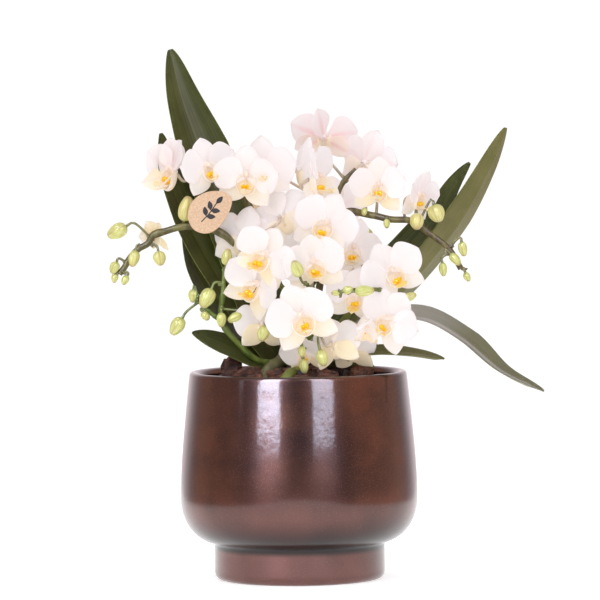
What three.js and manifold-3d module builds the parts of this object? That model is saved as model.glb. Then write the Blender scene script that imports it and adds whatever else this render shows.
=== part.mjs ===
import * as THREE from 'three';
import { mergeVertices } from 'three/addons/utils/BufferGeometryUtils.js';
import Module from 'manifold-3d';

// Potted mini moth orchid in a footed ceramic planter.
// Millimetres, +Z up, front of the plant towards -Y.
// The origin is the centre of the planter's flat underside.

const wasm = await Module();
wasm.setup();

// Driving dimensions of the planter
const potHeight = 104.7;
const rimRadius = 54.8;
const bellyRadius = 59.9;
const footRadius = 43;
const footHeight = 17;
const potWall = 4.6;
const potFloor = 14;

// How the planter's line runs between those sizes, as lengths and as [radius, height]
const footBevel = 4;
const footRounding = 5;
const bellyHeight = 42;
const bellyHandle = 14;
const ledge = [footRadius + 1, footHeight + 1.5];
const underBelly = [52, 20];
const shoulder = [57.6, 76];
const wallTop = [rimRadius + 0.6, 97];
const rimRounding = 1.8;
const rimBevel = 3;
const innerRimDepth = 2.4;
const innerShoulder = [54.2, 76];
const innerHandle = 12;
const innerBowl = [50, 24];
const innerLedge = [footRadius - 3, 20];

// Driving dimensions of the grow pot and its bark
const growPotRadius = 45;
const growPotFootRadius = 33;
const growPotHeight = 83;
const growPotWall = 0.8;
const growPotLipWidth = 1.6;
const growPotLipHeight = 3;
const barkCrown = 105;
const barkEdge = 96.3;

// How the bark falls from its crown to its edge, as [radius, height]
const barkTop = [14, 104.5];
const barkSlope = [30, 102.5];
const barkShoulder = [39, 99];

// Space kept between pieces that touch
const gap = 0.3;
const flowerGap = 0.45;

// Driving dimensions of one full-size flower
const petal = { length: 17.8, width: 18.2, widest: 0.56, claw: 0.24, cup: 1.2, bend: 1.2, thickness: 1 };
const dorsal = { length: 17.6, width: 13, widest: 0.5, claw: 0.35, cup: 1, bend: 1.5, thickness: 1 };
const lateral = { length: 18, width: 12, widest: 0.48, claw: 0.35, cup: 1, bend: 1, thickness: 1 };
const sideLobe = { length: 7.5, width: 6.5, widest: 0.55, claw: 0.5, cup: 1.5, bend: 1.2, thickness: 1.2 };
const midLobe = { length: 8.5, width: 4.4, widest: 0.4, claw: 0.8, cup: 0.8, bend: 1, thickness: 1.2 };
const column = { length: 8, radius: 2.1 };
const petalStandoff = 1.3;

// The column's middle, and where and how the lobes of the lip stand, in the flower's own frame
const columnMiddle = [0, -2.4, -0.2];
const sideLobeBase = [1.2, -2.2, -2];
const sideLobeLean = 45;
const sideLobeAngle = 42;
const midLobeBase = [0, -2, -1.8];
const midLobeLean = 128;

// Angles of the sepals and petals from straight up, and of their forward lean
const petalAngle = 74;
const lateralAngle = 134;
const forwardLean = 10;
const halfOpenLean = 45;

// Thickness of stems, in radii
const pedicelRadius = 0.8;
const budStalkRadius = 0.7;

// How deep a stalk ends in its bud, and how far before the bud it bends, in bud lengths
const budFoot = 0.8;
const stalkBend = 0.45;
const sideStemShare = 0.75;
const stepsPerPoint = 1.4;

// Where a pedicel ends behind its flower, and where it bends, in the flower's own frame
const pedicelEnd = [0, 1.6, -0.4];
const pedicelBend = [0, 7, -3.5];

// Where a pedicel leaves the stem, measured from its bend
const pedicelDrop = [0, 0, -7];

const paints = {
  glaze: { color: 0x5a3a30, roughness: 0.35, metalness: 0.7 },
  plastic: { color: 0x9a9f9a, roughness: 0.4, metalness: 0 },
  bark: { color: 0x4a2d22, roughness: 0.95, metalness: 0 },
  leaf: { color: 0x3f5a2c, roughness: 0.4, metalness: 0 },
  stem: { color: 0x6b7a3a, roughness: 0.5, metalness: 0 },
  root: { color: 0x7f8f6a, roughness: 0.6, metalness: 0 },
  flower: { color: 0xf7eee6, roughness: 0.5, metalness: 0 },
  kraft: { color: 0xd2a67c, roughness: 0.8, metalness: 0 },
};

const group = new THREE.Group();
const built = [];

function vector(point) {
  return new THREE.Vector3(point[0], point[1], point[2]);
}

function degrees(angle) {
  return THREE.MathUtils.degToRad(angle);
}

// Joins the seams of a fresh geometry, so that it is one closed skin before it is shaped.
function closed(geometry) {
  geometry.deleteAttribute('normal');
  geometry.deleteAttribute('uv');
  return mergeVertices(geometry, 1e-4);
}

// Booleans: from a closed geometry to a solid and back

function toSolid(geometry) {
  const vertProperties = new Float32Array(geometry.attributes.position.array);
  const triVerts = new Uint32Array(geometry.index.array);
  return new wasm.Manifold(new wasm.Mesh({ numProp: 3, vertProperties, triVerts }));
}

function toGeometry(solid) {
  const mesh = solid.getMesh();
  const geometry = new THREE.BufferGeometry();
  geometry.setAttribute('position', new THREE.BufferAttribute(mesh.vertProperties, 3));
  geometry.setIndex(new THREE.BufferAttribute(mesh.triVerts, 1));
  geometry.computeVertexNormals();
  return geometry;
}

function join(solids) {
  return solids.reduce((whole, piece) => whole.add(piece));
}

function largestBody(solid) {
  const bodies = solid.decompose();
  bodies.sort((a, b) => b.volume() - a.volume());
  return bodies[0];
}

// A piece gives way to every piece placed before it, leaving the gap between them.
// grown is the same piece, larger by the gap on every side.
function place(name, paint, solid, grown) {
  let fitted = solid;
  for (const other of built) {
    fitted = fitted.subtract(other.grown);
  }
  const body = largestBody(fitted);
  built.push({ name, grown });
  const material = new THREE.MeshStandardMaterial(paints[paint]);
  const mesh = new THREE.Mesh(toGeometry(body), material);
  mesh.name = name;
  group.add(mesh);
}

function placeBuilt(name, paint, build, clearance = gap) {
  place(name, paint, build(0), build(clearance));
}

// Shapes shared by tepals, leaves, stems and buds

// A blade is a thin lens-shaped sheet that starts at the origin and grows along +Z.
// Its face looks towards -Y. cup pulls its margins forward and bend pulls its tip forward.
// bladeBlunt rounds its tip, and clawEnd is where its narrow foot ends.
const bladeBlunt = 0.7;
const clawEnd = 0.4;

function bladeWidth(shape, t) {
  const power = Math.log(0.5) / Math.log(shape.widest);
  const outline = Math.pow(Math.sin(Math.PI * Math.pow(t, power)), bladeBlunt);
  const claw = shape.claw + (1 - shape.claw) * THREE.MathUtils.smoothstep(t, 0, clawEnd);
  return (shape.width / 2) * outline * claw;
}

function blade(shape, around, along, clearance) {
  const geometry = closed(new THREE.SphereGeometry(1, around, along));
  geometry.rotateX(Math.PI / 2);
  const position = geometry.attributes.position;
  const thickness = shape.thickness / 2 + clearance;
  for (let i = 0; i < position.count; i += 1) {
    const t = THREE.MathUtils.clamp((position.getZ(i) + 1) / 2, 0, 1);
    const ring = Math.hypot(position.getX(i), position.getY(i));
    const side = ring > 1e-4 ? position.getX(i) / ring : 0;
    const front = ring > 1e-4 ? position.getY(i) / ring : 0;
    const across = side * (bladeWidth(shape, t) + clearance * ring);
    const forward = shape.cup * side * side * ring + shape.bend * t * t;
    const depth = front * thickness * Math.pow(ring, 0.5);
    position.setXYZ(i, across, depth - forward, t * (shape.length + clearance));
  }
  return geometry;
}

// A stem is a round tube along a smooth curve through the given points.
function stem(points, thickness, sides, steps, clearance) {
  const radius = thickness + clearance;
  const places = points.map(vector);
  const last = places.length - 1;
  const startward = places[0].clone().sub(places[1]).setLength(clearance);
  const endward = places[last].clone().sub(places[last - 1]).setLength(clearance);
  places[0].add(startward);
  places[last].add(endward);
  const path = new THREE.CatmullRomCurve3(places);
  const corners = Array.from({ length: sides }, (_, i) => {
    const angle = (2 * Math.PI * i) / sides;
    return new THREE.Vector2(radius * Math.cos(angle), radius * Math.sin(angle));
  });
  const section = new THREE.Shape(corners);
  const options = { steps, bevelEnabled: false, extrudePath: path };
  return toSolid(closed(new THREE.ExtrudeGeometry(section, options)));
}

function egg(length, radius, around, along, clearance) {
  const geometry = closed(new THREE.SphereGeometry(1, around, along));
  geometry.rotateX(Math.PI / 2);
  geometry.scale(radius + clearance, radius + clearance, length / 2 + clearance);
  return geometry;
}

function turnTo(direction) {
  return new THREE.Quaternion().setFromUnitVectors(new THREE.Vector3(0, 0, 1), direction);
}

// Planter, grow pot and bark

// Outside line from the underside up to the rim: foot, rounded belly, tapering wall
function planterOutside() {
  const line = new THREE.Path();
  line.moveTo(footRadius - footBevel, 0);
  line.quadraticCurveTo(footRadius, 0, footRadius, footRounding);
  line.lineTo(footRadius, footHeight);
  line.lineTo(...ledge);
  line.bezierCurveTo(...underBelly, bellyRadius, bellyHeight - bellyHandle, bellyRadius, bellyHeight);
  line.bezierCurveTo(bellyRadius, bellyHeight + bellyHandle, ...shoulder, ...wallTop);
  line.lineTo(rimRadius, potHeight - rimRounding);
  line.quadraticCurveTo(rimRadius, potHeight, rimRadius - rimRounding, potHeight);
  return line.getPoints(4);
}

function planterInside() {
  const inner = bellyRadius - potWall;
  const line = new THREE.Path();
  line.moveTo(rimRadius - rimBevel, potHeight - gap);
  line.lineTo(rimRadius - potWall, potHeight - innerRimDepth);
  line.bezierCurveTo(...innerShoulder, inner, bellyHeight + bellyHandle, inner, bellyHeight);
  line.bezierCurveTo(inner, bellyHeight - innerHandle, ...innerBowl, ...innerLedge);
  line.lineTo(footRadius - footBevel, potFloor);
  return line.getPoints(3);
}

function planter() {
  const axis = [new THREE.Vector2(0, 0)];
  const floor = [new THREE.Vector2(0, potFloor)];
  const profile = axis.concat(planterOutside(), planterInside(), floor);
  return toSolid(closed(new THREE.LatheGeometry(profile, 32)).rotateX(Math.PI / 2));
}

function growPot() {
  const bottom = potFloor + gap;
  const top = bottom + growPotHeight;
  const inner = growPotWall;
  const profile = [
    new THREE.Vector2(0, bottom),
    new THREE.Vector2(growPotFootRadius, bottom),
    new THREE.Vector2(growPotRadius - growPotLipWidth, top - growPotLipHeight),
    new THREE.Vector2(growPotRadius, top - growPotLipHeight),
    new THREE.Vector2(growPotRadius, top),
    new THREE.Vector2(growPotRadius - growPotLipWidth - inner, top),
    new THREE.Vector2(growPotFootRadius - inner, bottom + inner),
    new THREE.Vector2(0, bottom + inner),
  ];
  return toSolid(closed(new THREE.LatheGeometry(profile, 24)).rotateX(Math.PI / 2));
}

function barkBed() {
  const bottom = potFloor + 2 * gap + growPotWall;
  const top = potFloor + gap + growPotHeight;
  const slack = growPotWall + growPotLipWidth + 2 * gap;
  const profile = [
    new THREE.Vector2(0, bottom),
    new THREE.Vector2(growPotFootRadius - growPotWall - 2 * gap, bottom),
    new THREE.Vector2(growPotRadius - slack, barkEdge),
    new THREE.Vector2(...barkShoulder),
    new THREE.Vector2(...barkSlope),
    new THREE.Vector2(...barkTop),
    new THREE.Vector2(0, barkCrown),
  ];
  return toSolid(closed(new THREE.LatheGeometry(profile, 20)).rotateX(Math.PI / 2));
}

// Bark chips: rough slabs lying on the bed. at is the middle, turn is about +Z.
const chips = [
  { name: 'bark_chip_1', at: [-33, -7, 106], size: [10, 8, 12], turn: 20, tip: 14 },
  { name: 'bark_chip_2', at: [-25, -26, 104], size: [12, 8, 7], turn: -35, tip: -12 },
  { name: 'bark_chip_3', at: [14, -31, 104], size: [13, 7, 6], turn: 15, tip: 10 },
  { name: 'bark_chip_4', at: [31, -20, 104], size: [11, 9, 7], turn: 60, tip: -15 },
  { name: 'bark_chip_5', at: [26, 22, 104], size: [14, 9, 6], turn: -20, tip: 12 },
  { name: 'bark_chip_6', at: [-14, 30, 104], size: [13, 10, 6], turn: 40, tip: -10 },
];

const chipTaper = 0.35;

function chip(spec, clearance) {
  const geometry = closed(new THREE.BoxGeometry(1, 1, 1, 2, 1, 1));
  const position = geometry.attributes.position;
  for (let i = 0; i < position.count; i += 1) {
    const x = position.getX(i);
    const y = position.getY(i);
    const z = position.getZ(i);
    const taper = 1 - chipTaper * Math.abs(x + 0.2) - 0.2 * y;
    const wide = spec.size.map((side) => side + 2 * clearance);
    position.setXYZ(i, x * wide[0], y * wide[1] * taper, z * wide[2] * taper);
  }
  geometry.rotateY(degrees(spec.tip));
  geometry.rotateZ(degrees(spec.turn));
  geometry.translate(...spec.at);
  return toSolid(geometry);
}

// Crown stem and roots

const crownRadius = 8;
const crownHeight = 16;
const crownMiddle = 109;

function crownStem(clearance) {
  const top = crownRadius - 2 + clearance;
  const height = crownHeight + 2 * clearance;
  const geometry = closed(new THREE.CylinderGeometry(top, crownRadius + clearance, height, 10, 1));
  geometry.rotateX(Math.PI / 2);
  geometry.translate(0, 0, crownMiddle);
  return toSolid(geometry);
}

const roots = [
  {
    name: 'root_left', radius: 3,
    points: [[-4, -6, 114], [-10, -13, 110], [-17, -20, 104], [-21, -24, 98]],
  },
  {
    name: 'root_front', radius: 2.6,
    points: [[1, -8, 108], [2, -21, 106.5], [-4, -32, 105], [-10, -37, 99]],
  },
  {
    name: 'root_right', radius: 2.1,
    points: [[7, -3, 110], [20, -9, 108], [30, -13, 109], [38, -15, 107]],
  },
  {
    name: 'root_back', radius: 2.4,
    points: [[1, 8, 108], [10, 19, 107], [16, 29, 105], [18, 36, 98]],
  },
];

// Leaves: spine points from the crown to the tip, width, and the way the upper face looks
const leaves = [
  {
    name: 'leaf_tall_left', width: 28, face: [0.36, -0.9, 0.15], fold: 0.34,
    spine: [
      [-7, 3, 110], [-18, 9, 135], [-29, 13, 165], [-40, 15, 194], [-50, 14, 220], [-58, 10, 244],
      [-63, 5, 267],
    ],
  },
  {
    name: 'leaf_dark_left', width: 23, face: [0.62, -0.7, 0.3], fold: 0.4,
    spine: [
      [-8, 0, 108], [-25, 2, 129], [-39, 4, 150], [-51, 5, 171], [-60, 4, 190], [-66, 2, 207],
      [-68, -1, 225],
    ],
  },
  {
    name: 'leaf_back_left', width: 21, face: [0.5, -0.5, 0.6], fold: 0.34,
    spine: [[-8, 4, 107], [-26, 8, 121], [-41, 11, 137], [-52, 13, 155], [-58, 14, 173]],
  },
  {
    name: 'leaf_small_left', width: 17, face: [0.2, -0.6, 0.8], fold: 0.2,
    spine: [[-8, -4, 105], [-20, -8, 110.5], [-32, -11, 116], [-43, -12, 121], [-53, -12, 125]],
  },
  {
    name: 'leaf_large_right', width: 27, face: [-0.55, 0.5, 0.66], fold: 0.13,
    spine: [
      [7, 3, 107], [27, 8, 121], [47, 12, 138], [65, 14, 157], [82, 14, 179], [95, 11, 202],
      [106, 6, 226],
    ],
  },
  {
    name: 'leaf_dark_right', width: 24, face: [-0.62, -0.6, 0.5], fold: 0.34,
    spine: [
      [6, 6, 108], [20, 14, 126], [38, 20, 145], [57, 24, 163], [73, 26, 181], [81, 25, 196],
      [88.5, 22, 208],
    ],
  },
  {
    name: 'leaf_drooping_right', width: 15.5, face: [0.1, -0.42, 0.9], fold: 0.26,
    spine: [
      [8, -2, 107], [24, -4, 120], [44, -7, 130], [64, -10, 131], [84, -12, 120], [103, -14, 104],
      [123, -15, 94],
    ],
  },
  {
    name: 'leaf_low_right', width: 14, face: [0, -0.3, 0.95], fold: 0.26,
    spine: [[8, -5, 105], [22, -12, 111.5], [38, -18, 114.5], [55, -22, 114], [73, -26, 111.5]],
  },
];

const leafThickness = 1.5;

// A leaf's half width at its foot, and its outline: lower is blunter, earlier is widest lower down.
const leafFoot = 0.42;
const leafBlunt = 0.6;
const leafEarly = 0.85;

function leafWidth(t) {
  const inside = 0.04 + 0.955 * t;
  const belly = Math.pow(Math.sin(Math.PI * Math.pow(inside, leafEarly)), leafBlunt);
  return Math.min(1, leafFoot * (1 - t) + belly);
}

function leaf(spec, clearance) {
  const along = 9;
  const around = 6;
  const curve = new THREE.CatmullRomCurve3(spec.spine.map(vector));
  const geometry = closed(new THREE.CylinderGeometry(1, 1, 1, around, along));
  const position = geometry.attributes.position;
  const thickness = leafThickness / 2 + clearance;
  for (let i = 0; i < position.count; i += 1) {
    const t = position.getY(i) + 0.5;
    const ring = Math.min(1, Math.hypot(position.getX(i), position.getZ(i)));
    const angle = Math.atan2(position.getZ(i), position.getX(i));
    const side = ring * Math.cos(angle);
    const face = vector(spec.face).normalize();
    const tangent = curve.getTangentAt(t);
    const sideways = new THREE.Vector3().crossVectors(tangent, face).normalize();
    const normal = new THREE.Vector3().crossVectors(sideways, tangent);
    const half = (spec.width / 2) * leafWidth(t) + clearance;
    const lift = spec.fold * half * Math.abs(side) + ring * Math.sin(angle) * thickness;
    const point = curve.getPointAt(t);
    point.addScaledVector(tangent, clearance * (2 * t - 1));
    point.addScaledVector(sideways, side * half);
    point.addScaledVector(normal, lift);
    position.setXYZ(i, point.x, point.y, point.z);
  }
  return toSolid(geometry);
}

// Flowers. at is where the tepals meet, turn is to the right, nod is downward,
// roll is clockwise seen from the front, all in degrees. open is the tepals' forward lean.
const flowers = [
  { name: 'flower_01', spike: 'left', at: [-61, -8, 205], turn: -48, nod: -6, roll: 0, size: 1 },
  { name: 'flower_02', spike: 'left', at: [-45, -14, 208.5], turn: 22, nod: 5, roll: -18, size: 0.9 },
  { name: 'flower_03', spike: 'left', at: [-25, -16, 202.9], turn: 0, nod: 5, roll: 5, size: 1 },
  { name: 'flower_04', spike: 'left', at: [-16.8, -9, 206.3], turn: 4, nod: -6, roll: -2, size: 1 },
  { name: 'flower_05', spike: 'right', at: [8, -20, 202], turn: 56, nod: 0, roll: 0, size: 1 },
  { name: 'flower_06', spike: 'right', at: [14, 8, 221.5], turn: 176, nod: -30, roll: 6, size: 1 },
  { name: 'flower_07', spike: 'right', at: [34, 4, 208.5], turn: 140, nod: -12, roll: -20, size: 1.05 },
  { name: 'flower_08', spike: 'right', at: [41, -14, 197.5], turn: 0, nod: 0, roll: 2, size: 0.87 },
  { name: 'flower_09', spike: 'right', at: [60, -8, 192.5], turn: 52, nod: 12, roll: 14, size: 0.8 },
  { name: 'flower_10', spike: 'front', at: [15, -30, 179.5], turn: -8, nod: 4, roll: 24, size: 1 },
  { name: 'flower_11', spike: 'front', at: [-15, -38, 164.8], turn: -28, nod: 8, roll: 38, size: 1 },
  { name: 'flower_12', spike: 'front', at: [-19.5, -28, 149.3], turn: -34, nod: 4, roll: 34, size: 1 },
  { name: 'flower_13', spike: 'front', at: [8, -38, 160.8], turn: 5, nod: 8, roll: -12, size: 0.98 },
  { name: 'flower_14', spike: 'front', at: [2, -48, 134.5], turn: 0, nod: 4, roll: -20, size: 1.06 },
  { name: 'flower_15', spike: 'right_low', at: [46, -30, 155.8], turn: 22, nod: 6, roll: -32, size: 1 },
  { name: 'flower_16', spike: 'right_low', at: [46.5, -36, 131.8], turn: -22, nod: 4, roll: 35, size: 1 },
  { name: 'flower_17', spike: 'right_low', at: [30, -28, 144.8], turn: -10, nod: 18, roll: 14, size: 0.95 },
  { name: 'flower_18', spike: 'right_low', at: [28, -12, 166.5], turn: 5, nod: 5, roll: 10, size: 0.9 },
  {
    name: 'flower_19', spike: 'right_low', at: [34, -32, 128.5], turn: 10, nod: 20, roll: 10,
    size: 0.62, open: 62,
  },
  { name: 'flower_20', spike: 'front', at: [17, -36, 120.5], turn: 150, nod: 15, roll: 18, size: 0.85 },
  { name: 'flower_21', spike: 'left', at: [-8, -16, 182.5], turn: 160, nod: 6, roll: 29, size: 0.98 },
  { name: 'flower_22', spike: 'left', at: [-27, -14, 172], turn: 172, nod: 0, roll: -12, size: 1 },
  { name: 'flower_23', spike: 'front', at: [-17, -22, 129.5], turn: 205, nod: 10, roll: 0, size: 0.85 },
  { name: 'flower_24', spike: 'front', at: [3, -30, 116.5], turn: -20, nod: 35, roll: -10, size: 0.72 },
  { name: 'flower_25', spike: 'right_low', at: [27, -24, 115.5], turn: 160, nod: -20, roll: 0, size: 0.72 },
  { name: 'flower_26', spike: 'back', at: [-20, 32, 190.5], turn: 195, nod: 0, roll: -8, size: 0.95 },
  { name: 'flower_27', spike: 'back', at: [18, 36, 184.5], turn: 165, nod: 2, roll: 6, size: 1 },
  { name: 'flower_28', spike: 'back', at: [-4, 42, 162.5], turn: 184, nod: 5, roll: 12, size: 0.95 },
  { name: 'flower_29', spike: 'back', at: [30, 34, 154.5], turn: 150, nod: 6, roll: -10, size: 0.9 },
  { name: 'flower_30', spike: 'right', at: [1, -6, 206], turn: 112, nod: 0, roll: -4, size: 0.95 },
];

// Dorsal sepal, two lower sepals and two petals, each at its angle from straight up.
// twist turns a tepal about its own length and forward adds to its lean.
const openPoses = [
  { angle: 0, twist: 0, forward: 0 },
  { angle: lateralAngle, twist: 0, forward: 0 },
  { angle: -lateralAngle, twist: 0, forward: 0 },
  { angle: petalAngle, twist: 0, forward: 0 },
  { angle: -petalAngle, twist: 0, forward: 0 },
];

// Flowers whose tepals stand in their own way
const ownPoses = {
  flower_01: [
    { angle: -12, twist: 50, forward: 0 },
    { angle: 150, twist: 0, forward: 45 },
    { angle: -120, twist: 0, forward: 20 },
    { angle: 20, twist: -22, forward: 0 },
    { angle: -50, twist: 0, forward: 0 },
  ],
  flower_05: [
    { angle: -6, twist: 20, forward: 0 },
    { angle: 128, twist: 0, forward: 0 },
    { angle: -158, twist: 0, forward: 0 },
    { angle: 34, twist: 0, forward: 0 },
    { angle: -42, twist: 30, forward: 0 },
  ],
  flower_06: [
    { angle: -4, twist: 44, forward: -10 },
    { angle: 116, twist: 0, forward: 0 },
    { angle: -136, twist: 0, forward: 0 },
    { angle: 64, twist: 0, forward: 0 },
    { angle: -94, twist: 0, forward: 0 },
  ],
};

function tepals(name, lean, clearance) {
  const shapes = [dorsal, lateral, lateral, petal, petal];
  const poses = ownPoses[name] || openPoses;
  return poses.map((pose, i) => {
    const geometry = blade(shapes[i], 4, 3, clearance);
    geometry.rotateZ(degrees(pose.twist));
    geometry.rotateX(degrees(lean + pose.forward));
    geometry.rotateY(degrees(pose.angle));
    return geometry.translate(0, shapes[i] === petal ? -petalStandoff : 0, 0);
  });
}

function lipLobe(side, clearance) {
  const geometry = blade(sideLobe, 4, 3, clearance);
  const [x, y, z] = sideLobeBase;
  geometry.rotateZ(degrees(-90 * side));
  geometry.rotateX(degrees(sideLobeLean));
  geometry.rotateY(degrees(sideLobeAngle * side));
  geometry.translate(x * side, y, z);
  return geometry;
}

function lipFront(clearance) {
  const geometry = blade(midLobe, 4, 3, clearance);
  geometry.rotateZ(Math.PI);
  geometry.rotateX(degrees(midLobeLean));
  geometry.translate(...midLobeBase);
  return geometry;
}

// A half-open flower still hides its lip
function flowerPieces(name, lean, clearance) {
  const heart = egg(column.length, column.radius, 5, 3, clearance);
  heart.rotateX(Math.PI / 2);
  heart.translate(...columnMiddle);
  const pieces = [heart, ...tepals(name, lean, clearance)];
  const lip = [lipLobe(1, clearance), lipLobe(-1, clearance), lipFront(clearance)];
  return lean > halfOpenLean ? pieces : pieces.concat(lip);
}

function flowerMatrix(spec) {
  const turn = new THREE.Matrix4().makeRotationZ(degrees(spec.turn));
  const nod = new THREE.Matrix4().makeRotationX(degrees(spec.nod));
  const roll = new THREE.Matrix4().makeRotationY(degrees(spec.roll));
  const scale = new THREE.Matrix4().makeScale(spec.size, spec.size, spec.size);
  const spot = new THREE.Matrix4().makeTranslation(vector(spec.at));
  return spot.multiply(turn).multiply(nod).multiply(roll).multiply(scale);
}

function flower(spec, clearance) {
  const lean = spec.open === undefined ? forwardLean : spec.open;
  const pieces = flowerPieces(spec.name, lean, clearance / spec.size);
  const matrix = flowerMatrix(spec);
  return join(pieces.map((geometry) => toSolid(geometry.applyMatrix4(matrix))));
}

// Flower spikes: a main stem with side branches. Buds hang along the given direction.
const spikes = [
  {
    name: 'spike_left', key: 'left', radius: 2.1,
    stems: [
      [[-5, -4, 112], [-13, -7, 136], [-24, -10, 160], [-38, -12, 175], [-55, -13, 178.5], [-66, -13, 176],
        [-72, -13, 174], [-74.5, -13, 170], [-79, -13, 167.5], [-83.5, -13, 163], [-86.5, -13, 158],
        [-89, -13, 155]],
      [[-22, -10, 157], [-22, -9, 175], [-26, -8, 192], [-36, -4, 202], [-50, -2, 206]],
    ],
    buds: [
      { at: [-89.5, -14, 176.4], size: [10, 7.8], hang: [-0.85, 0, -0.45] },
      { at: [-81.5, -15, 162.8], size: [8, 5.6], hang: [-0.25, -0.2, -0.95] },
      { at: [-68.7, -15, 162.8], size: [7, 6.4], hang: [0.2, -0.2, -0.95] },
      { at: [-91.3, -14, 158.3], size: [6, 5], hang: [-0.4, 0, -0.9] },
      { at: [-91.3, -12, 153], size: [4.8, 3.6], hang: [-0.2, 0.2, -0.95] },
      { at: [-86, -15, 152], size: [4.8, 3.8], hang: [-0.4, -0.2, -0.85] },
      { at: [-55.2, -13, 187], size: [12, 8], hang: [0.2, -0.1, 0.96] },
      { at: [-71.2, -9, 174.5], size: [13, 10.4], hang: [-0.6, -0.25, -0.7] },
    ],
  },
  {
    name: 'spike_right', key: 'right', radius: 2,
    stems: [
      [[5, -3, 112], [10, -5, 140], [15, -7, 165], [24, -9, 184], [38, -11, 183], [47, -13, 181],
        [58, -14, 180], [66, -15, 174], [76, -15, 166], [82, -15, 156]],
      [[16, -7, 168], [19, -4, 188], [24, -2, 200], [30, -1, 206]],
    ],
    buds: [
      { at: [60, -17, 180], size: [8, 7.2], hang: [0, -0.5, -0.85] },
      { at: [70, -14, 184], size: [8.6, 8.6], hang: [0.3, 0, -0.95] },
      { at: [83, -15, 166], size: [7, 4.6], hang: [0.2, 0, -0.98] },
      { at: [79, -17, 161], size: [7, 4.6], hang: [0.6, -0.2, -0.7] },
      { at: [73, -16, 156], size: [6.6, 4.2], hang: [0.1, 0, -1] },
      { at: [85, -15, 152], size: [4.6, 3.6], hang: [0.4, 0, -0.9] },
      { at: [34, -14, 185], size: [4, 3], hang: [-0.2, -0.3, -0.9] },
      { at: [45, -16, 179], size: [4.6, 3.4], hang: [0, -0.4, -0.9] },
    ],
  },
  {
    name: 'spike_front', key: 'front', radius: 1.8,
    stems: [
      [[0, -6, 112], [3, -13, 130], [4, -18, 150], [4, -20, 168], [8, -18, 182]],
      [[3, -15, 136], [-6, -16, 146], [-14, -18, 156], [-18, -22, 164]],
      [[1, -10, 120], [5, -17, 121], [10, -22, 126], [8, -30, 143], [5, -42, 150]],
    ],
    buds: [
      { at: [0, -49, 158], size: [8.4, 6.2], hang: [-0.35, -0.3, 0.9] },
      { at: [-17, -40, 126], size: [7.6, 6.2], hang: [-0.3, -0.2, -0.9] },
      { at: [12, -46, 114], size: [8, 5.6], hang: [0.25, -0.2, -0.95] },
      { at: [2, -44, 117], size: [5.4, 3.8], hang: [0, -0.2, -0.98] },
      { at: [3, -40, 109.5], size: [7, 4.6], hang: [0.1, -0.2, -0.97] },
    ],
  },
  {
    name: 'spike_right_low', key: 'right_low', radius: 1.7,
    stems: [
      [[6, -6, 110], [16, -12, 122], [27, -17, 136], [36, -19, 150], [42, -17, 162]],
      [[27, -17, 136], [38, -22, 141], [42, -34, 146], [36, -45, 147.5], [24, -47, 147], [19, -47, 146]],
    ],
    buds: [
      { at: [33, -50, 147], size: [9, 5.6], hang: [0.98, -0.1, 0.05] },
      { at: [25, -49, 147.5], size: [5, 4.2], hang: [0.9, -0.2, 0.2] },
      { at: [19, -48, 146], size: [4, 3], hang: [-0.9, -0.2, 0] },
      { at: [56, -30, 143], size: [6, 4.4], hang: [0.8, 0, 0.3] },
    ],
  },
  {
    name: 'spike_green_left', key: 'green_left', radius: 1.6,
    stems: [
      [[-7, -6, 109], [-20, -12, 111], [-30, -15, 120], [-38, -17, 131], [-37, -18, 146], [-36, -17, 158]],
      [[-38, -17, 131], [-43, -19, 135], [-49, -20, 141]],
    ],
    buds: [
      { at: [-60, -20, 129], size: [9.4, 7.2], hang: [-0.55, 0, -0.85] },
      { at: [-45, -22, 143], size: [10, 7.6], hang: [-0.45, -0.2, -0.85] },
      { at: [-52, -18, 144], size: [6.4, 5], hang: [-0.1, 0.1, -0.98] },
      { at: [-46, -19, 134], size: [5, 4.4], hang: [0.5, -0.2, -0.7] },
      { at: [-38, -22, 132], size: [7, 5], hang: [0, -0.3, -0.95] },
      { at: [-31, -22, 133], size: [7.4, 5.2], hang: [-0.85, -0.2, -0.4] },
      { at: [-35, -19, 163], size: [8, 5.4], hang: [0.15, -0.2, 0.95] },
    ],
  },
  {
    name: 'spike_back', key: 'back', radius: 1.8,
    stems: [
      [[1, 6, 112], [4, 14, 134], [6, 21, 158], [4, 24, 178], [-8, 22, 192]],
      [[5, 17, 144], [14, 22, 156], [20, 24, 170]],
    ],
    buds: [
      { at: [-24, 30, 176], size: [8, 6], hang: [-0.5, 0.3, -0.8] },
      { at: [36, 32, 172], size: [8, 6], hang: [0.6, 0.3, -0.6] },
    ],
  },
];

function nearestOnStems(stems, target) {
  let best = null;
  for (const points of stems) {
    for (const spot of new THREE.CatmullRomCurve3(points.map(vector)).getSpacedPoints(60)) {
      if (best === null || spot.distanceTo(target) < best.distanceTo(target)) {
        best = spot;
      }
    }
  }
  return best;
}

// The pedicel leaves the stem, bends and enters the flower from behind.
function pedicel(stems, spec, clearance) {
  const matrix = flowerMatrix(spec);
  const end = vector(pedicelEnd).applyMatrix4(matrix);
  const bend = vector(pedicelBend).applyMatrix4(matrix);
  const start = nearestOnStems(stems, bend.clone().add(vector(pedicelDrop)));
  const points = [start, bend, end].map((point) => point.toArray());
  return stem(points, pedicelRadius, 4, 3, clearance);
}

function bud(stems, spec, clearance) {
  const direction = vector(spec.hang).normalize();
  const centre = vector(spec.at);
  const base = centre.clone().addScaledVector(direction, budFoot - spec.size[0] / 2);
  const bend = base.clone().addScaledVector(direction, -stalkBend * spec.size[0]);
  const start = nearestOnStems(stems, bend);
  const points = [start, bend, base].map((point) => point.toArray());
  const stalk = stem(points, budStalkRadius, 4, 3, clearance);
  const body = egg(spec.size[0], spec.size[1] / 2, 5, 4, clearance);
  body.applyQuaternion(turnTo(direction));
  body.translate(centre.x, centre.y, centre.z);
  return stalk.add(toSolid(body));
}

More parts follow.
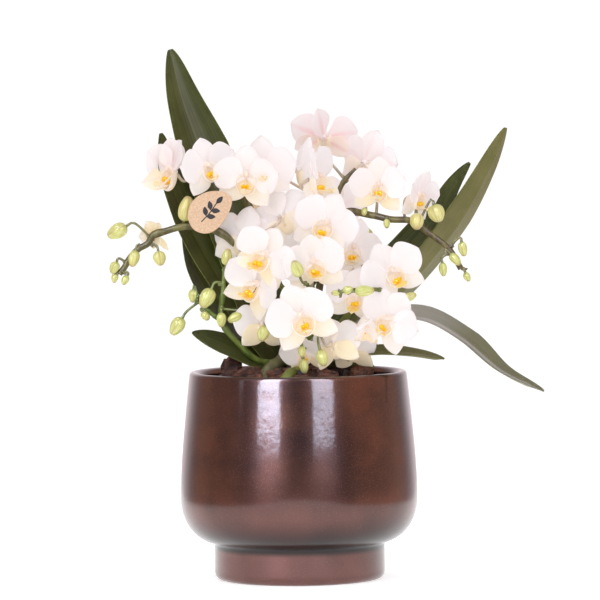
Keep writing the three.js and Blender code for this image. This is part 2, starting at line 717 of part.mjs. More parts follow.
function spike(spec, clearance) {
  const solids = spec.stems.map((points, i) => {
    const radius = spec.radius * (i === 0 ? 1 : sideStemShare);
    return stem(points, radius, 5, Math.round(stepsPerPoint * points.length), clearance);
  });
  for (const one of flowers.filter((candidate) => candidate.spike === spec.key)) {
    solids.push(pedicel(spec.stems, one, clearance));
  }
  for (const one of spec.buds) {
    solids.push(bud(spec.stems, one, clearance));
  }
  return join(solids);
}

// Tag: a flat drop-shaped card, and the clip that holds it on the left spike
const tagCentre = [-43, -24, 186];
const tagThickness = 1.2;

function tag(clearance) {
  const outline = new THREE.Shape();
  outline.moveTo(-8, -9);
  outline.bezierCurveTo(-3, -12.5, 2, -11, 6, -6);
  outline.bezierCurveTo(9, -2, 11.5, 3, 11, 6.5);
  outline.bezierCurveTo(9, 11, -1, 12, -7, 7);
  outline.bezierCurveTo(-12, 3, -12.5, -5, -8, -9);
  const options = { depth: tagThickness + 2 * clearance, bevelEnabled: false, curveSegments: 5 };
  const geometry = closed(new THREE.ExtrudeGeometry(outline, options));
  geometry.translate(0, 0, -tagThickness / 2 - clearance);
  geometry.scale(1 + clearance / 11, 1 + clearance / 11, 1);
  geometry.rotateX(Math.PI / 2);
  geometry.translate(...tagCentre);
  return toSolid(geometry);
}

// The clip closes round the spike's stem, whose thickness the gap above cuts out of it.
const clipCentre = [-45, -12.6, 178.6];
const clipRadius = 3.4;
const clipWidth = 3;
const clipLegHeight = 2;
const clipMouth = [5, 4, 2.6];

function tagClip(clearance) {
  const radius = clipRadius + clearance;
  const ring = closed(new THREE.CylinderGeometry(radius, radius, clipWidth, 10));
  ring.rotateZ(Math.PI / 2);
  ring.translate(...clipCentre);
  const legLength = clipCentre[1] - tagCentre[1];
  const leg = closed(new THREE.BoxGeometry(clipWidth, legLength, clipLegHeight));
  leg.translate(clipCentre[0], clipCentre[1] - legLength / 2, clipCentre[2]);
  const mouth = closed(new THREE.BoxGeometry(...clipMouth));
  mouth.translate(clipCentre[0], clipCentre[1] + clipWidth, clipCentre[2]);
  return toSolid(ring).add(toSolid(leg)).subtract(toSolid(mouth));
}

placeBuilt('crown_stem', 'stem', crownStem);
for (const spec of leaves) {
  placeBuilt(spec.name, 'leaf', (clearance) => leaf(spec, clearance));
}
for (const spec of spikes) {
  placeBuilt(spec.name, 'stem', (clearance) => spike(spec, clearance));
}
for (const spec of roots) {
  placeBuilt(spec.name, 'root', (clearance) => stem(spec.points, spec.radius, 7, 6, clearance));
}
placeBuilt('tag', 'kraft', tag);
placeBuilt('tag_clip', 'plastic', tagClip);
for (const spec of flowers) {
  placeBuilt(spec.name, 'flower', (clearance) => flower(spec, clearance), flowerGap);
}
for (const spec of chips) {
  placeBuilt(spec.name, 'bark', (clearance) => chip(spec, clearance));
}
placeBuilt('bark_bed', 'bark', barkBed);
placeBuilt('grow_pot', 'plastic', growPot);
placeBuilt('ceramic_planter', 'glaze', planter);

export default group;
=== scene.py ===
import math
import random
from collections import namedtuple

import bpy
import numpy as np
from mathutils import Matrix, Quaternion, Vector, noise


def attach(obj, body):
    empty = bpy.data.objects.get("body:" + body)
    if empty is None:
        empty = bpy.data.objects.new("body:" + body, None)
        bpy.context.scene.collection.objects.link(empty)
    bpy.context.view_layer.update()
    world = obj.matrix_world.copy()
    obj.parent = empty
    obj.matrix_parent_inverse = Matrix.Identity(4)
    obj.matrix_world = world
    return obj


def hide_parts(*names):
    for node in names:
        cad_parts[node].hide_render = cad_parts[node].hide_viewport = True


# Potted mini moth orchid in a footed ceramic planter.
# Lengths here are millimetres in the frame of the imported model; meshes are made in metres.
# Every skin carries two vectors a point for its material: pattern is (across, along, behind),
# and each material says what its tone is.

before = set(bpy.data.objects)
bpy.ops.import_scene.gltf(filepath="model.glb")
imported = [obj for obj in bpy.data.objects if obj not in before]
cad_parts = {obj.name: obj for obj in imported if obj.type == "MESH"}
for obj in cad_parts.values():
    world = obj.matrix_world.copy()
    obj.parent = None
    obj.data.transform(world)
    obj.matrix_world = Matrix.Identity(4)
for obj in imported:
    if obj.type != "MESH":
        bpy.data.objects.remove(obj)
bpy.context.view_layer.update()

MM = 0.001
NEAR_AXIS = 0.4

# A direction in which no curve here starts
ASKEW = [0.31, 0.55, 0.77]

# Seeds of the random draws
BARK_SEED, CHIP_SEED, LEAF_SEED, ROOT_SEED = 11, 300, 40, 70
FLOWER_SEED, SPIKE_SEED, SPRIG_SEED = 500, 900, 5

# Planter, grow pot and bark
POT_HEIGHT = 104.7
RIM_RADIUS = 54.8
BELLY_RADIUS = 59.9
FOOT_RADIUS = 43
FOOT_HEIGHT = 17
POT_WALL = 4.6
POT_FLOOR = 14
GROW_POT_RADIUS = 45
GROW_POT_NECK = 43.4
GROW_POT_FOOT = 33
GROW_POT_HEIGHT = 83
GROW_POT_WALL = 0.8
GAP = 0.3
BARK_CROWN = 105
BARK_EDGE = 95.5
BED_SINK = 1.2
LOOSE_LUMPS = 170
LUMP_REACH = 41
LUMP_SQUARENESS = 0.45
LUMP_ROUGHNESS = 0.28

# A blade's shape: its length and width, where it is widest, how wide its claw is, how round its tip,
# how far its sides and its tip come forward, and how deep the groove in its middle is.
Shape = namedtuple("Shape", "length width widest claw round cup bend groove", defaults=[0.3])

# One full-size flower
PETAL = Shape(17.8, 18.6, 0.54, 0.34, 2.5, 1.2, 1.2)
DORSAL = Shape(17.6, 13.4, 0.5, 0.5, 2.1, 1, 1.5)
LATERAL = Shape(18, 12.4, 0.46, 0.5, 1.9, 1, 1)
MID_LOBE = Shape(9, 6.2, 0.42, 0.8, 1.9, 1.6, 3.4)
LIP_WIDTH = 10.8
LIP_HEIGHT = 12
LIP_DEPTH = 4.4
LIP_GAP = 34
LIP_TILT = -14
TEPAL_ROWS, TEPAL_COLUMNS = 22, 19
CUP_ROWS, CUP_COLUMNS = 15, 37
TEPAL_THICKNESS = 0.5
LOBE_THICKNESS = 0.45
PETAL_STANDOFF = 1.3
PETAL_ANGLE = 74
LATERAL_ANGLE = 134
FORWARD_LEAN = 10

# A flower that leans further forward than this is half open: it has no lip and cupped tepals
HALF_OPEN_LEAN = 45
HALF_OPEN_CUP = 5.5
HALF_OPEN_BEND = -5

# Stems and buds
PEDICEL_RADIUS = 0.8
STALK_RADIUS = 0.65
SIDE_STEM_SHARE = 0.75
BUD_RINGS, BUD_SIDES = 20, 24
STEM_PAINT, BUD_PAINT, TEPAL_PAINT = 0, 1, 2
BRACT = Shape(3.4, 3, 0.35, 1, 0.75, 1.1, 0.6)

# Leaf blades
LEAF_THICKNESS = 1.5
LEAF_ROWS, LEAF_COLUMNS = 56, 25

# Tag and its clip
TAG_CENTRE = [-43, -24, 186]
TAG_THICKNESS = 1.2
SPRIG_LEAF = Shape(4.8, 2.6, 0.45, 0.6, 1.8, 0, 0, 0)
CLIP_CENTRE = [-45, -12.6, 178.6]
CLIP_RADIUS = 3.1
HOOP_WIRE = 0.6
HOOP_BREADTH = 2.2
BAR_WIRE = 0.8

# Camera, at the photo's angle
CAMERA_EYE = [1.346, -2400, 255]
CAMERA_AIM = [1.346, 0, 140.39]
CAMERA_ROLL = -0.55
SENSOR_WIDTH = 36
MM_PER_PIXEL = 0.5034
PICTURE_SIDE = 600

# The oval floor's half lengths in metres
TABLE = (0.42, 1.35)

# A light panel looks at the Z axis, at this share of its own height
SOFTBOX_AIM = 0.85

# Light panels: azimuth, distance, low edge, high edge, width and watts, in degrees and metres.
# Azimuth 0 is in front of the object, and it grows to the right.
SOFTBOXES = {
    "softbox_left": (-30, 1.25, 0.24, 1.5, 0.48, 4.1),
    "softbox_right": (28, 1.25, 0.24, 1.5, 0.44, 2.5),
    "softbox_back_left": (-150, 1.6, 0.1, 1.4, 0.7, 3.4),
    "softbox_back_right": (150, 1.6, 0.1, 1.4, 0.7, 3.4),
}

# The room that gloss sees, in degrees of azimuth and height; a row is (from, to, brightness)
ROOM_DIM = 0.13
WALL_BORDER = (116, 156)
WARM_SIDES = ((-124, -58, 0.54), (50, 124, 0.84))
SOFTBOX_BANDS = ((-42, -19, 17.5), (15, 37, 9.6), (-64, -61, 2.0))
SOFTBOX_HEIGHTS = (6.9, 56)
WALL_TINT = (1.0, 0.88, 0.93)
SIDE_TINT = (1.0, 0.52, 0.36)
SOFTBOX_TINT = (1.0, 1.08, 1.34)

# What matt surfaces and the camera see of the world
WORLD_MATT = 0.68
WORLD_SEEN = 1.05


# Small tools: turns, curves and skins

def turning(axis, angle):
    """The 3 x 3 matrix that turns by angle degrees about axis 0, 1 or 2."""
    cosine, sine = math.cos(math.radians(angle)), math.sin(math.radians(angle))
    one, two = (axis + 1) % 3, (axis + 2) % 3
    matrix = np.eye(3)
    matrix[one, one] = matrix[two, two] = cosine
    matrix[one, two] = -sine
    matrix[two, one] = sine
    return matrix


def unit(vectors):
    return vectors / np.linalg.norm(vectors, axis=-1, keepdims=True)


def smooth(value, low, high):
    share = np.clip((value - low) / (high - low), 0, 1)
    return share * share * (3 - 2 * share)


class Curve:
    """A centripetal Catmull-Rom curve through points, measured along its length."""

    def __init__(self, points, fine=24):
        given = np.array(points, float)
        before, after = 2 * given[0] - given[1], 2 * given[-1] - given[-2]
        knots = np.vstack([before, given, after])
        parts = [self.span(knots[i:i + 4], fine) for i in range(len(given) - 1)]
        self.places = np.vstack(parts + [given[-1:]])
        steps = np.linalg.norm(np.diff(self.places, axis=0), axis=1)
        self.length = steps.sum()
        self.share = np.concatenate([[0], np.cumsum(steps)]) / self.length

    @staticmethod
    def span(p, fine):
        t = np.concatenate([[0], np.cumsum(np.sqrt(np.linalg.norm(np.diff(p, axis=0), axis=1)))])
        x = np.linspace(t[1], t[2], fine, endpoint=False)[:, None]

        def between(a, b, i, j):
            return ((t[j] - x) * a + (x - t[i]) * b) / (t[j] - t[i])

        first, middle, last = (between(p[i], p[i + 1], i, i + 1) for i in range(3))
        return between(between(first, middle, 0, 2), between(middle, last, 1, 3), 1, 2)

    def at(self, share):
        return np.stack([np.interp(share, self.share, self.places[:, k]) for k in range(3)], axis=-1)

    def tangent(self, share):
        step = 0.006
        ahead = self.at(np.clip(share + step, 0, 1))
        return unit(ahead - self.at(np.clip(share - step, 0, 1)))


class Skin:
    """A closed surface: points, faces, one pattern vector a point, a tone and a paint number."""

    def __init__(self, points, faces, pattern, tone=(0, 0, 0), paint=0):
        self.points = np.asarray(points, float)
        self.faces = faces
        self.pattern = np.asarray(pattern, float)
        self.tone = np.broadcast_to(np.asarray(tone, float), self.points.shape).copy()
        self.paint = paint

    def turned(self, matrix):
        self.points = self.points @ np.asarray(matrix).T
        return self

    def moved(self, x=0, y=0, z=0):
        self.points = self.points + np.array([x, y, z], float)
        return self

    def coloured(self, tone, paint=None):
        self.tone = np.broadcast_to(np.asarray(tone, float), self.points.shape).copy()
        self.paint = self.paint if paint is None else paint
        return self


def quads(number):
    """Quads between neighbours in a grid of point numbers."""
    corners = [number[:-1, :-1], number[:-1, 1:], number[1:, 1:], number[1:, :-1]]
    return np.stack(corners, axis=-1).reshape(-1, 4).tolist()


def tube_skin(rings, around, tone=(0, 0, 0), paint=0):
    """A skin from rings x sides x 3 points. Both end rings are filled with one face."""
    count, sides, _ = rings.shape
    number = np.arange(count * sides).reshape(count, sides)
    faces = quads(np.hstack([number, number[:, :1]]))
    faces.append(number[0].tolist())
    faces.append(number[-1, ::-1].tolist())
    along = np.linspace(0, 1, count)[:, None] + np.zeros((1, sides))
    across = np.zeros((count, 1)) + np.asarray(around)[None, :]
    pattern = np.stack([across, along, np.zeros_like(along)], axis=-1).reshape(-1, 3)
    return Skin(rings.reshape(-1, 3), faces, pattern, tone, paint)


def sheet_skin(front, back, across, along, tone=(0, 0, 0), paint=0):
    """A thin skin from two grids of points that share their border."""
    rows, columns, _ = front.shape
    number = np.arange(rows * columns).reshape(rows, columns)
    behind = number.copy()
    inner = (rows - 2) * (columns - 2)
    behind[1:-1, 1:-1] = rows * columns + np.arange(inner).reshape(rows - 2, columns - 2)
    points = np.vstack([front.reshape(-1, 3), back[1:-1, 1:-1].reshape(-1, 3)])
    faces = quads(number) + [face[::-1] for face in quads(behind)]
    both = np.stack([across, along], axis=-1)
    pattern = np.zeros((len(points), 3))
    pattern[:rows * columns, :2] = both.reshape(-1, 2)
    pattern[rows * columns:, :2] = both[1:-1, 1:-1].reshape(-1, 2)
    pattern[rows * columns:, 2] = 1
    return Skin(points, faces, pattern, tone, paint)


def close_ends(front, back):
    """Joins the first and the last row of a sheet's two sides."""
    for row in (0, -1):
        front[row] = back[row] = (front[row] + back[row]) / 2


def circle(sides):
    return np.linspace(0, 2 * np.pi, sides, endpoint=False)


def tube(points, radius, sides=8, rings=16, tone=(0, 0, 0), paint=0):
    """A round tube along a curve; radius is a number or a function of the share along it."""
    curve = points if isinstance(points, Curve) else Curve(points)
    share = np.linspace(0, 1, rings)
    places, tangents = curve.at(share), curve.tangent(share)
    normal = np.cross(tangents[0], ASKEW)
    normals = []
    for tangent in tangents:
        normal = unit(normal - tangent * (normal @ tangent))
        normals.append(normal)
    normals = np.array(normals)[:, None]
    binormals = np.cross(tangents[:, None], normals)
    angle = circle(sides)
    width = radius(share) if callable(radius) else radius
    reach = np.broadcast_to(width, share.shape)[:, None, None]
    ring = np.cos(angle)[None, :, None] * normals + np.sin(angle)[None, :, None] * binormals
    return tube_skin(places[:, None] + reach * ring, angle / (2 * np.pi), tone, paint)


def lathe(profile, sides, tone=(0, 0, 0), paint=0):
    """A profile of (radius, height) pairs turned about the Z axis. Its ends are near the axis."""
    angle = circle(sides)
    profile = np.array(profile, float)
    x = profile[:, :1] * np.cos(angle)
    y = profile[:, :1] * np.sin(angle)
    z = profile[:, 1:] + np.zeros((1, sides))
    return tube_skin(np.stack([x, y, z], axis=-1), angle / (2 * np.pi), tone, paint)


def bezier(points, steps):
    """Points along a quadratic or cubic curve, its first point left out."""
    share = np.linspace(0, 1, steps + 1)[1:, None]
    stage = [np.array(point, float) for point in points]
    while len(stage) > 1:
        stage = [(1 - share) * a + share * b for a, b in zip(stage, stage[1:])]
    return stage[0].tolist()


def volume(skin):
    """Signed volume, positive where the faces look outwards."""
    total = 0
    for size in {len(face) for face in skin.faces}:
        corners = skin.points[np.array([face for face in skin.faces if len(face) == size])]
        for i in range(1, size - 1):
            total += np.einsum("ij,ij->", corners[:, 0], np.cross(corners[:, i], corners[:, i + 1]))
    return total / 6


def write_vectors(mesh, name, values):
    layer = mesh.attributes.new(name, "FLOAT_VECTOR", "POINT")
    layer.data.foreach_set("vector", values.astype(np.float32).ravel())


def new_object(name, data):
    made = bpy.data.objects.new(name, data)
    bpy.context.scene.collection.objects.link(made)
    return made


def add_piece(name, skins, materials, nodes, flat=False):
    """Joins skins into one object of the part that rides on the root body."""
    faces, paints, start = [], [], 0
    for skin in skins:
        order = 1 if volume(skin) > 0 else -1
        faces += [[start + i for i in face[::order]] for face in skin.faces]
        paints += [skin.paint] * len(skin.faces)
        start += len(skin.points)
    mesh = bpy.data.meshes.new(name)
    points = np.vstack([skin.points for skin in skins]) * MM
    mesh.from_pydata(points.tolist(), [], faces)
    write_vectors(mesh, "pattern", np.vstack([skin.pattern for skin in skins]))
    write_vectors(mesh, "tone", np.vstack([skin.tone for skin in skins]))
    for material in materials:
        mesh.materials.append(material)
    mesh.polygons.foreach_set("material_index", paints)
    mesh.polygons.foreach_set("use_smooth", [not flat] * len(faces))
    piece = new_object(name, mesh)
    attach(piece, "root")
    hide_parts(*nodes)
    return piece


# Materials

class Nodes:
    """A node tree, with short calls that add nodes and return their output."""

    def __init__(self, tree):
        self.tree = tree

    def node(self, kind, inputs, **settings):
        made = self.tree.nodes.new(kind)
        for key, value in settings.items():
            setattr(made, key, value)
        for key, value in inputs.items():
            self.feed(made.inputs[key], value)
        return made

    def feed(self, socket, value):
        if isinstance(value, bpy.types.NodeSocket):
            self.tree.links.new(value, socket)
        else:
            socket.default_value = value

    def math(self, operation, first, second=0.0):
        return self.node("ShaderNodeMath", {0: first, 1: second}, operation=operation).outputs[0]

    def product(self, *values):
        result = values[0]
        for value in values[1:]:
            result = self.math("MULTIPLY", result, value)
        return result

    def ramp(self, value, low, high, start=0.0, end=1.0):
        """Smoothly from start, where value is low, to end, where it is high."""
        inputs = {"Value": value, "From Min": low, "From Max": high, "To Min": start, "To Max": end}
        made = self.node("ShaderNodeMapRange", inputs, interpolation_type="SMOOTHSTEP")
        return made.outputs["Result"]

    def band(self, value, low, high, soft):
        """1 between low and high, with soft borders, and 0 elsewhere."""
        rise = self.ramp(value, low - soft, low + soft)
        return self.product(rise, self.ramp(value, high - soft, high + soft, 1, 0))

    def mix(self, factor, first, second):
        made = self.node("ShaderNodeMix", {}, data_type="RGBA")
        self.feed(made.inputs["Factor"], factor)
        for index, value in ((6, first), (7, second)):
            value = (*value, 1) if isinstance(value, tuple) else value
            self.feed(made.inputs[index], value)
        return made.outputs[2]

    def blend(self, share, first, second):
        """The number between first and second at a share of the way."""
        return self.node("ShaderNodeMix", {0: share, 2: first, 3: second}).outputs[0]

    def split(self, vector):
        return self.node("ShaderNodeSeparateXYZ", {0: vector}).outputs


class Paint(Nodes):
    """A node material."""

    def __init__(self, name):
        self.material = bpy.data.materials.new(name)
        self.material.use_nodes = True
        super().__init__(self.material.node_tree)
        self.shader = self.tree.nodes["Principled BSDF"]
        self.output = self.tree.nodes["Material Output"]

    def set(self, **values):
        """Sets the shader's sockets, such as Base_Color or Roughness."""
        for key, value in values.items():
            self.feed(self.shader.inputs[key.replace("_", " ")], value)

    def attribute(self, name):
        """The three numbers of a point attribute, as separate outputs."""
        made = self.node("ShaderNodeAttribute", {}, attribute_name=name, attribute_type="GEOMETRY")
        return self.split(made.outputs["Vector"])

    def place(self, stretch=(1, 1, 1)):
        """The point in the part's frame, in metres, multiplied by stretch."""
        made = self.node("ShaderNodeTexCoord", {})
        inputs = {"Vector": made.outputs["Object"], "Scale": stretch}
        return self.node("ShaderNodeMapping", inputs).outputs["Vector"]

    def texture(self, vector, scale, detail, roughness):
        inputs = {"Vector": vector, "Scale": scale, "Detail": detail, "Roughness": roughness}
        return self.node("ShaderNodeTexNoise", inputs).outputs["Fac"]

    def noise(self, scale, detail, roughness=0.5, stretch=(1, 1, 1)):
        """Noise in the part's frame, its places multiplied by stretch."""
        return self.texture(self.place(stretch), scale, detail, roughness)

    def fibres(self, across, along, chance, count, scale, detail=2.0, roughness=0.5):
        """Noise drawn out along a blade, count times as fine across it."""
        inputs = {0: self.product(across, count), 1: along, 2: chance}
        made = self.node("ShaderNodeCombineXYZ", inputs)
        return self.texture(made.outputs[0], scale, detail, roughness)

    def cells(self, scale):
        """Distance to the nearest of many scattered points, in cells."""
        inputs = {"Vector": self.place(), "Scale": scale}
        return self.node("ShaderNodeTexVoronoi", inputs).outputs["Distance"]

    def cover(self, colour, top, value, low, high, start=0.0, end=1.0):
        """Colour under top, whose share goes from start, where value is low, to end, where it is high."""
        return self.mix(self.ramp(value, low, high, start, end), colour, top)

    def bump(self, height, depth, strength=1.0):
        """Relief of the given depth in millimetres."""
        inputs = {"Height": height, "Distance": depth * MM, "Strength": strength}
        return self.node("ShaderNodeBump", inputs).outputs["Normal"]

    def mix_in(self, share, other):
        """Puts a share of another shader over the material's own."""
        made = self.node("ShaderNodeMixShader", {0: share, 1: self.shader.outputs[0], 2: other})
        self.feed(self.output.inputs["Surface"], made.outputs[0])

    def let_through(self, colour, share):
        """Lets a share of the light from behind come through the sheet."""
        self.mix_in(share, self.node("ShaderNodeBsdfTranslucent", {"Color": colour}).outputs[0])


def glaze_material():
    """Speckled bronze under a clear gloss. Low on the pot it is paler, partly painted reflection of the
    floor, and just above the foot it is dark, pooled glaze with painted shade.
    """
    paint = Paint("bronze_glaze")
    height = paint.split(paint.place())[2]
    mottle = paint.noise(30, 3)
    rust = paint.noise(40, 3, stretch=(0.8, 0.8, 1.3))
    grain = paint.noise(2300, 2)
    smoke = paint.noise(27, 2, stretch=(1, 1, 0.7))
    flake, pits = paint.cells(1500), paint.cells(95)
    wavy = paint.math("ADD", height, paint.product(mottle, -0.010))
    # Dark just above the foot and fading out up the belly: pooled glaze and painted shade under the belly.
    pool_and_painted_shade = paint.product(paint.ramp(height, 0.0140, 0.0170), paint.ramp(height, 0.0195, 0.037, 1, 0))
    brown = paint.cover((0.034, 0.012, 0.0088), (0.080, 0.030, 0.0185), mottle, 0.36, 0.66)
    layers = (
        ((0.108, 0.039, 0.018), rust, 0.46, 0.68, 0, 0.8),
        # Paler and pinker below the belly, with a wavy top edge: the glaze's own colour and painted
        # reflection of the floor.
        ((0.168, 0.063, 0.052), wavy, 0.028, 0.046, 0.9, 0),
        ((0.028, 0.015, 0.014), smoke, 0.46, 0.68, 0, 0.5),
        ((0.125, 0.060, 0.052), grain, 0.4, 0.7, 0, 0.35),
        ((0.60, 0.44, 0.40), flake, 0, 0.17, 0.75, 0),
        ((0.006, 0.004, 0.004), pits, 0.014, 0.03, 1, 0),
    )
    for top, *veil in layers:
        brown = paint.cover(brown, top, *veil)
    # Lays the pooled glaze and painted shade over the brown.
    brown = paint.mix(paint.product(pool_and_painted_shade, 0.95), brown, (0.008, 0.005, 0.006))
    relief = paint.math("ADD", paint.product(grain, 0.35), paint.ramp(pits, 0.012, 0.04))
    peel = paint.product(paint.noise(420, 2), 0.12)
    wave = paint.math("ADD", paint.noise(110, 3, stretch=(1, 1, 0.5)), peel)
    paint.set(Base_Color=brown, Metallic=0.85, Roughness=0.30)
    paint.set(Coat_Weight=0.85, Coat_Roughness=0.08, Coat_IOR=1.52)
    paint.set(Normal=paint.bump(relief, 0.05, 0.5), Coat_Normal=paint.bump(wave, 0.2, 0.6))
    return paint.material


def tepal_material():
    """Tone is (warm, blush, chance). The cream of a warm tepal fades towards its tip."""
    paint = Paint("tepal")
    across, along, _ = paint.attribute("pattern")
    warm, blush, chance = paint.attribute("tone")
    width = paint.math("ABSOLUTE", across)
    middle = paint.ramp(width, 0.0, 0.3, 1, 0)
    lines = paint.fibres(across, along, chance, 9.0, 3.2, 3, 0.6)
    white = paint.cover((0.934, 0.922, 0.952), (0.956, 0.946, 0.972), lines, 0.35, 0.65)
    base = paint.product(paint.ramp(along, 0.15, 1.3, 1, 0.1), warm)
    colour = paint.mix(base, white, (0.975, 0.895, 0.66))
    rosy = paint.product(blush, paint.ramp(along, 0.0, 1.0, 1.0, 0.35), paint.math("ADD", middle, 0.45))
    colour = paint.mix(rosy, colour, (0.86, 0.56, 0.60))
    # A pinkish grey margin: painted shade along each tepal's edge.
    border = paint.math("MAXIMUM", paint.ramp(width, 0.86, 0.99), paint.ramp(along, 0.93, 0.99))
    colour = paint.mix(paint.product(border, 0.3), colour, (0.90, 0.80, 0.81))
    glow = paint.mix(0.6, colour, (0.98, 0.90, 0.87))
    relief = paint.math("ADD", lines, paint.product(paint.cells(2600), 0.2))
    paint.set(Base_Color=colour, Roughness=0.5, Specular_IOR_Level=0.3)
    # The tepals glow a little: painted light that lifts their shade.
    paint.set(Emission_Color=glow, Emission_Strength=0.16, Normal=paint.bump(relief, 0.12, 0.5))
    paint.let_through(glow, 0.4)
    return paint.material


def lip_material():
    """Along runs from the rim of the cup to its bottom; tone is (gold, marks, chance)."""
    paint = Paint("lip")
    across, along, behind = paint.attribute("pattern")
    gold, marks, chance = paint.attribute("tone")
    inside = paint.math("SUBTRACT", 1.0, behind)
    cream = paint.cover((0.96, 0.925, 0.90), (0.97, 0.90, 0.76), along, 0.0, 0.8)
    yellow = paint.product(gold, paint.math("ADD", paint.product(inside, 0.9), 0.1))
    colour = paint.mix(yellow, cream, (0.98, 0.76, 0.20))
    streaks = paint.fibres(across, along, chance, 9.0, 4.5)
    spots = paint.product(paint.ramp(streaks, 0.52, 0.62), paint.ramp(along, 0.2, 0.5), marks, inside)
    colour = paint.mix(paint.product(spots, 0.55), colour, (0.82, 0.56, 0.68))
    paint.set(Base_Color=colour, Roughness=0.4, Specular_IOR_Level=0.4)
    # The lip glows a little: painted light that lifts the shade inside its cup.
    paint.set(Emission_Color=colour, Emission_Strength=0.16, Normal=paint.bump(streaks, 0.1, 0.4))
    paint.let_through(colour, 0.42)
    return paint.material


def callus_material():
    paint = Paint("callus")
    blotch = paint.noise(900, 3)
    colour = paint.cover((0.98, 0.62, 0.012), (0.97, 0.48, 0.008), blotch, 0.4, 0.65)
    paint.set(Base_Color=colour, Roughness=0.35, Normal=paint.bump(blotch, 0.15))
    # The callus glows a little: painted light that lifts its shade.
    paint.set(Emission_Color=colour, Emission_Strength=0.12)
    return paint.material


def column_material():
    paint = Paint("column")
    along = paint.attribute("pattern")[1]
    colour = paint.cover((0.96, 0.89, 0.89), (0.96, 0.77, 0.66), along, 0.45, 0.9)
    grain = paint.noise(1400, 2)
    paint.set(Base_Color=colour, Roughness=0.35, Normal=paint.bump(grain, 0.05))
    # The column glows a little: painted light that lifts its shade.
    paint.set(Emission_Color=colour, Emission_Strength=0.08)
    paint.set(Subsurface_Weight=0.3, Subsurface_Radius=(1.0, 0.6, 0.5), Subsurface_Scale=0.8 * MM)
    return paint.material


def leaf_material():
    """Tone is (warm, sheen, chance). Sheen is a painted grey highlight over the upper and lower side."""
    paint = Paint("leaf")
    across, along, behind = paint.attribute("pattern")
    warm, sheen_share, chance = paint.attribute("tone")
    width = paint.math("ABSOLUTE", across)
    lines = paint.fibres(across, along, chance, 24.0, 2.0, 3, 0.65)
    veins = paint.fibres(across, paint.product(along, 0.6), chance, 60.0, 2.0)
    blotch = paint.noise(60, 3)
    fresh = paint.cover((0.024, 0.037, 0.005), (0.052, 0.066, 0.011), blotch, 0.35, 0.7)
    under = paint.cover((0.160, 0.155, 0.050), (0.220, 0.200, 0.075), blotch, 0.35, 0.7)
    colour = paint.mix(behind, paint.mix(warm, fresh, (0.185, 0.170, 0.060)), under)
    layers = (
        ((0.23, 0.215, 0.08), lines, 0.42, 0.72, 0, 0.3),
        ((0.045, 0.055, 0.015), veins, 0.45, 0.7, 0, 0.25),
        ((0.22, 0.24, 0.07), width, 0.0, 0.035, 0.3, 0),
        ((0.30, 0.34, 0.08), width, 0.95, 0.99, 0, 0.6),
    )
    for top, *veil in layers:
        colour = paint.cover(colour, top, *veil)
    # The painted sheen: a grey painted highlight laid over the leaf, a little streaked by its fibres.
    painted_sheen = paint.product(sheen_share, paint.ramp(lines, 0.2, 0.7, 0.55, 1.0))
    colour = paint.mix(painted_sheen, colour, (0.58, 0.54, 0.53))
    relief = paint.math("ADD", lines, paint.product(paint.noise(420, 2), 0.5))
    paint.set(Base_Color=colour, Roughness=paint.ramp(lines, 0.3, 0.7, 0.38, 0.48))
    paint.set(Specular_IOR_Level=0.18, Coat_Weight=0.05, Coat_Roughness=0.3)
    paint.set(Normal=paint.bump(relief, 0.25, 0.6))
    return paint.material


def stem_material():
    """Tone is (warm, pale, 0). Warm is browner; a flower's stalk turns pale towards the flower."""
    paint = Paint("stem")
    warm, pale, _ = paint.attribute("tone")
    blotch = paint.noise(260, 3, stretch=(1, 1, 0.4))
    speck = paint.noise(1500, 2)
    green = paint.cover((0.085, 0.135, 0.016), (0.18, 0.24, 0.040), blotch, 0.35, 0.65)
    brown = paint.cover((0.080, 0.048, 0.020), (0.19, 0.15, 0.050), blotch, 0.35, 0.65)
    colour = paint.mix(pale, paint.mix(warm, green, brown), (0.84, 0.70, 0.58))
    colour = paint.cover(colour, (0.12, 0.06, 0.04), speck, 0.6, 0.75, 0, 0.4)
    paint.set(Base_Color=colour, Roughness=0.42, Normal=paint.bump(speck, 0.08))
    paint.set(Subsurface_Weight=0.15, Subsurface_Radius=(1.0, 0.9, 0.3), Subsurface_Scale=0.6 * MM)
    return paint.material


def bud_material():
    """Tone is (ripe, blush, chance). Three brown seams run to a tip that blush makes darker."""
    paint = Paint("bud")
    across, along, _ = paint.attribute("pattern")
    ripe, blush, chance = paint.attribute("tone")
    lines = paint.fibres(across, along, chance, 14.0, 2.6)
    green = paint.cover((0.54, 0.59, 0.16), (0.78, 0.82, 0.34), lines, 0.3, 0.7)
    yellow = paint.cover((0.70, 0.62, 0.20), (0.88, 0.80, 0.40), lines, 0.3, 0.7)
    colour = paint.cover(paint.mix(ripe, green, yellow), (0.36, 0.44, 0.08), along, 0.0, 0.35, 0.6, 0)
    seam = paint.ramp(paint.math("PINGPONG", paint.product(across, 3.0), 0.5), 0.40, 0.5)
    colour = paint.mix(paint.product(seam, 0.45), colour, (0.44, 0.28, 0.13))
    tip = paint.product(paint.ramp(along, 0.7, 0.98), paint.math("ADD", blush, 0.3))
    colour = paint.mix(tip, colour, (0.42, 0.21, 0.13))
    paint.set(Base_Color=colour, Roughness=0.36, Normal=paint.bump(lines, 0.2, 0.6))
    paint.set(Subsurface_Weight=0.25, Subsurface_Radius=(1.0, 0.9, 0.3), Subsurface_Scale=MM)
    return paint.material


def root_material():
    """Tone is (green, 0, chance)."""
    paint = Paint("root")
    green = paint.attribute("tone")[0]
    blotch = paint.noise(130, 4, 0.6)
    fibre = paint.noise(900, 3, stretch=(1, 1, 0.3))
    dry = paint.cover((0.115, 0.095, 0.052), (0.23, 0.20, 0.13), blotch, 0.35, 0.65)
    fresh = paint.cover((0.12, 0.14, 0.025), (0.24, 0.27, 0.05), blotch, 0.35, 0.65)
    paint.set(Base_Color=paint.mix(green, dry, fresh), Roughness=0.62)
    paint.set(Normal=paint.bump(fibre, 0.25, 0.7))
    return paint.material


